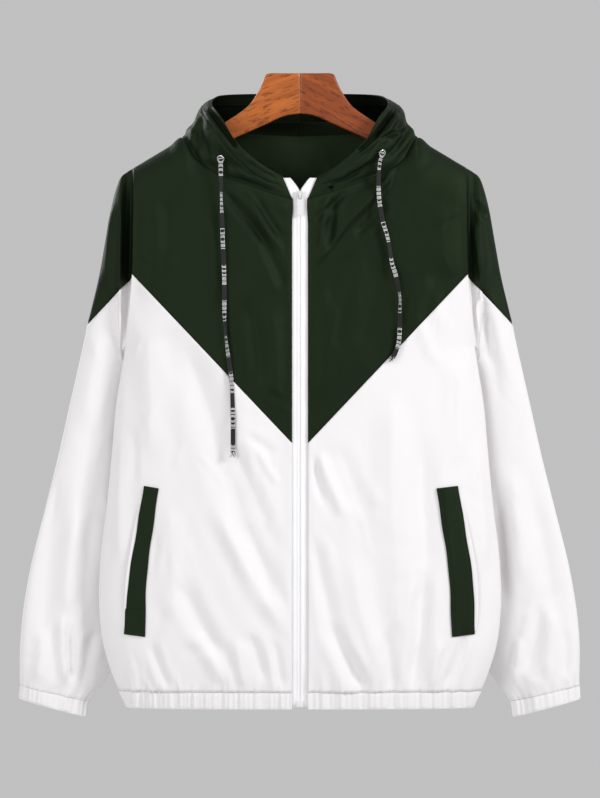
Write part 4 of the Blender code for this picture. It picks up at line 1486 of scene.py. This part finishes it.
class JACKET_OT_eyelets(bpy.types.Operator):
    """Press the metal eyelets into the hood's casing"""
    bl_idname = "jacket.eyelets"
    bl_label = "Eyelets"

    def execute(self, context):
        nickel = metal_paint("nickel plate", tuple(context.scene.jacket.nickel), 1.0, 0.24)
        # Near-black matt paint for the hole of each eyelet: painted shade.
        hollow = metal_paint("eyelet hole painted shade", (0.006, 0.008, 0.006), 0.0, 0.9)
        profile = ((4.7, 0.0), (4.6, 0.55), (4.2, 0.95), (3.7, 1.1), (3.2, 0.95), (2.85, 0.45), (2.7, -0.6),
                   (3.2, -0.7), (4.4, -0.4))
        for side in SIDES:
            sheet = hood_sheet(side)
            turn, rise = (np.array([value]) for value in nearest_on_hood(side, *EYELETS[side]))
            centre = Vector(sheet.at(turn, rise, 1.3)[0]) * MM
            facing = Vector(sheet.normal(turn, rise)[0])
            turned = Vector((0, 0, 1)).rotation_difference(facing).to_matrix().to_4x4()
            pose = Matrix.Translation(centre) @ turned
            ring = bmesh.new()
            corners = [ring.verts.new((r * MM, 0.0, h * MM)) for r, h in profile]
            edges = [ring.edges.new(pair) for pair in zip(corners, corners[1:] + corners[:1])]
            bmesh.ops.spin(ring, geom=edges, cent=(0, 0, 0), axis=(0, 0, 1), steps=40, angle=2.0 * math.pi,
                           use_merge=True)
            bmesh.ops.recalc_face_normals(ring, faces=ring.faces)
            bmesh.ops.transform(ring, matrix=pose, verts=ring.verts)
            make_piece(f"eyelet_ring_{side}", ring, nickel, [f"eyelet_{side}"])
            # A dark disc inside each ring stands for the hole, where the hood is not cut: painted shade.
            disc = bmesh.new()
            bmesh.ops.create_circle(disc, cap_ends=True, segments=32, radius=3.0 * MM)
            sunk = pose @ Matrix.Translation((0.0, 0.0, -0.1 * MM))
            bmesh.ops.transform(disc, matrix=sunk, verts=disc.verts)
            make_piece(f"eyelet_hollow_{side}", disc, hollow)
        return {"FINISHED"}


class JACKET_OT_stitches(bpy.types.Operator):
    """Run the rows of topstitching along the zip, the hem, the cuffs and the hood's casing"""
    bl_idname = "jacket.stitches"
    bl_label = "Topstitching"

    def execute(self, context):
        green, white = [], []
        for side, sign in SIDES.items():
            front = body_sheet(FRONT, side)
            tip = CHEVRON_TIP_Z - 3.0
            z = np.linspace(-150.0, tip, 110)
            green.append(front.at(np.full_like(z, sign * (ZIP_EDGE + STITCH_FROM_ZIP)), z, STITCH_LIFT))
            z = np.linspace(tip, HEM_SEAM_Z + 1.0, 110)
            white.append(front.at(np.full_like(z, sign * (ZIP_EDGE + STITCH_FROM_ZIP)), z, STITCH_LIFT))
            x = sign * np.linspace(ZIP_EDGE + 2.0, 200.0, 150)
            white.append(front.at(x, np.full_like(x, HEM_SEAM_Z + STITCH_OVER_HEM), STITCH_LIFT))
            hood = hood_sheet(side)
            turn = np.linspace(0.9, HOOD_TURNS - 0.05, 240)
            green.append(hood.at(turn, 1.0 - casing_share(side, turn), STITCH_LIFT))
            cuff = tube_sheet(side, 0.0, CUFF_ROW)
            u = np.linspace(0.0, 1.0, 120)
            white.append(cuff.at(u, np.full_like(u, 0.99), STITCH_LIFT))
        back = body_sheet(BACK)
        x = np.linspace(-200.0, 200.0, 300)
        white.append(back.at(x, np.full_like(x, HEM_SEAM_Z + STITCH_OVER_HEM), STITCH_LIFT))
        make_piece("green_topstitching", stitch_mesh(green), green_thread())
        make_piece("white_topstitching", stitch_mesh(white), white_thread())
        return {"FINISHED"}


class JACKET_OT_hanger(bpy.types.Operator):
    """Shape and varnish the two glued boards of the hanger"""
    bl_idname = "jacket.hanger"
    bl_label = "Hanger"

    def execute(self, context):
        # One varnished wood in a lit and a shaded copy: the left board's lighter orange is painted light and
        # the right board's darker red is painted shade, standing for arms that meet the light at different
        # angles.
        boards = {
            "left": wood_paint("varnished wood, painted lit board", (0.55, 0.152, 0.026), (0.33, 0.076, 0.012),
                               (0.16, 0.033, 0.007), 0.35),
            "right": wood_paint("varnished wood, painted shaded board", (0.37, 0.086, 0.017), (0.19, 0.038, 0.009),
                                (0.11, 0.020, 0.006), -0.5),
        }
        for side, sign in SIDES.items():
            def place(u, v):
                row = HANGER.at(u * 12.0)
                x = row.bottom_x + (row.top_x - row.bottom_x) * v
                z = row.bottom_z + (row.top_z - row.bottom_z) * v
                return np.stack((sign * x, np.full_like(x, -HANGER_THICK / 2.0), z), axis=-1)

            board = Sheet(place, flat_relief, sign).mesh(96, 6, (200.0, 40.0))
            raised = bmesh.ops.extrude_face_region(board, geom=board.faces[:])["geom"]
            bmesh.ops.translate(board, vec=(0.0, HANGER_THICK * MM, 0.0),
                                verts=[part for part in raised if isinstance(part, bmesh.types.BMVert)])
            bmesh.ops.recalc_face_normals(board, faces=board.faces)
            sharp = [edge for edge in board.edges if edge.calc_face_angle(0.0) > 0.9]
            soften(board, sharp, 1.8, 4)
            cut(board, (sign * 0.03, 0.0, 0.0), (-sign, 0.0, 0.0))
            bmesh.ops.holes_fill(board, edges=[edge for edge in board.edges if edge.is_boundary], sides=0)
            bmesh.ops.recalc_face_normals(board, faces=board.faces)
            make_piece(f"hanger_board_{side}", board, boards[side], [f"hanger_{side}"])
        return {"FINISHED"}


class JACKET_PT_build(bpy.types.Panel):
    """Buttons that build the jacket piece by piece"""
    bl_idname = "JACKET_PT_build"
    bl_label = "Jacket"
    bl_space_type = "VIEW_3D"
    bl_region_type = "UI"
    bl_category = "Jacket"

    def draw(self, context):
        for operator in OPERATORS:
            self.layout.operator(operator.bl_idname)
        for group in (context.scene.jacket, context.scene.jacket_studio):
            for name in group.__annotations__:
                self.layout.prop(group, name)


OPERATORS = (JACKET_OT_studio, JACKET_OT_drawstrings, JACKET_OT_fronts, JACKET_OT_back, JACKET_OT_sleeves,
             JACKET_OT_bands, JACKET_OT_hood, JACKET_OT_zip, JACKET_OT_welts, JACKET_OT_eyelets,
             JACKET_OT_stitches, JACKET_OT_hanger)
CLASSES = (JacketSettings, StudioSettings, *OPERATORS, JACKET_PT_build)


def register():
    for each in CLASSES:
        bpy.utils.register_class(each)
    bpy.types.Scene.jacket = bpy.props.PointerProperty(type=JacketSettings)
    bpy.types.Scene.jacket_studio = bpy.props.PointerProperty(type=StudioSettings)


def unregister():
    del bpy.types.Scene.jacket_studio
    del bpy.types.Scene.jacket
    for each in reversed(CLASSES):
        bpy.utils.unregister_class(each)


def main():
    register()
    for operator in OPERATORS:
        group, name = operator.bl_idname.split(".")
        getattr(getattr(bpy.ops, group), name)()


if __name__ == "__main__":
    main()
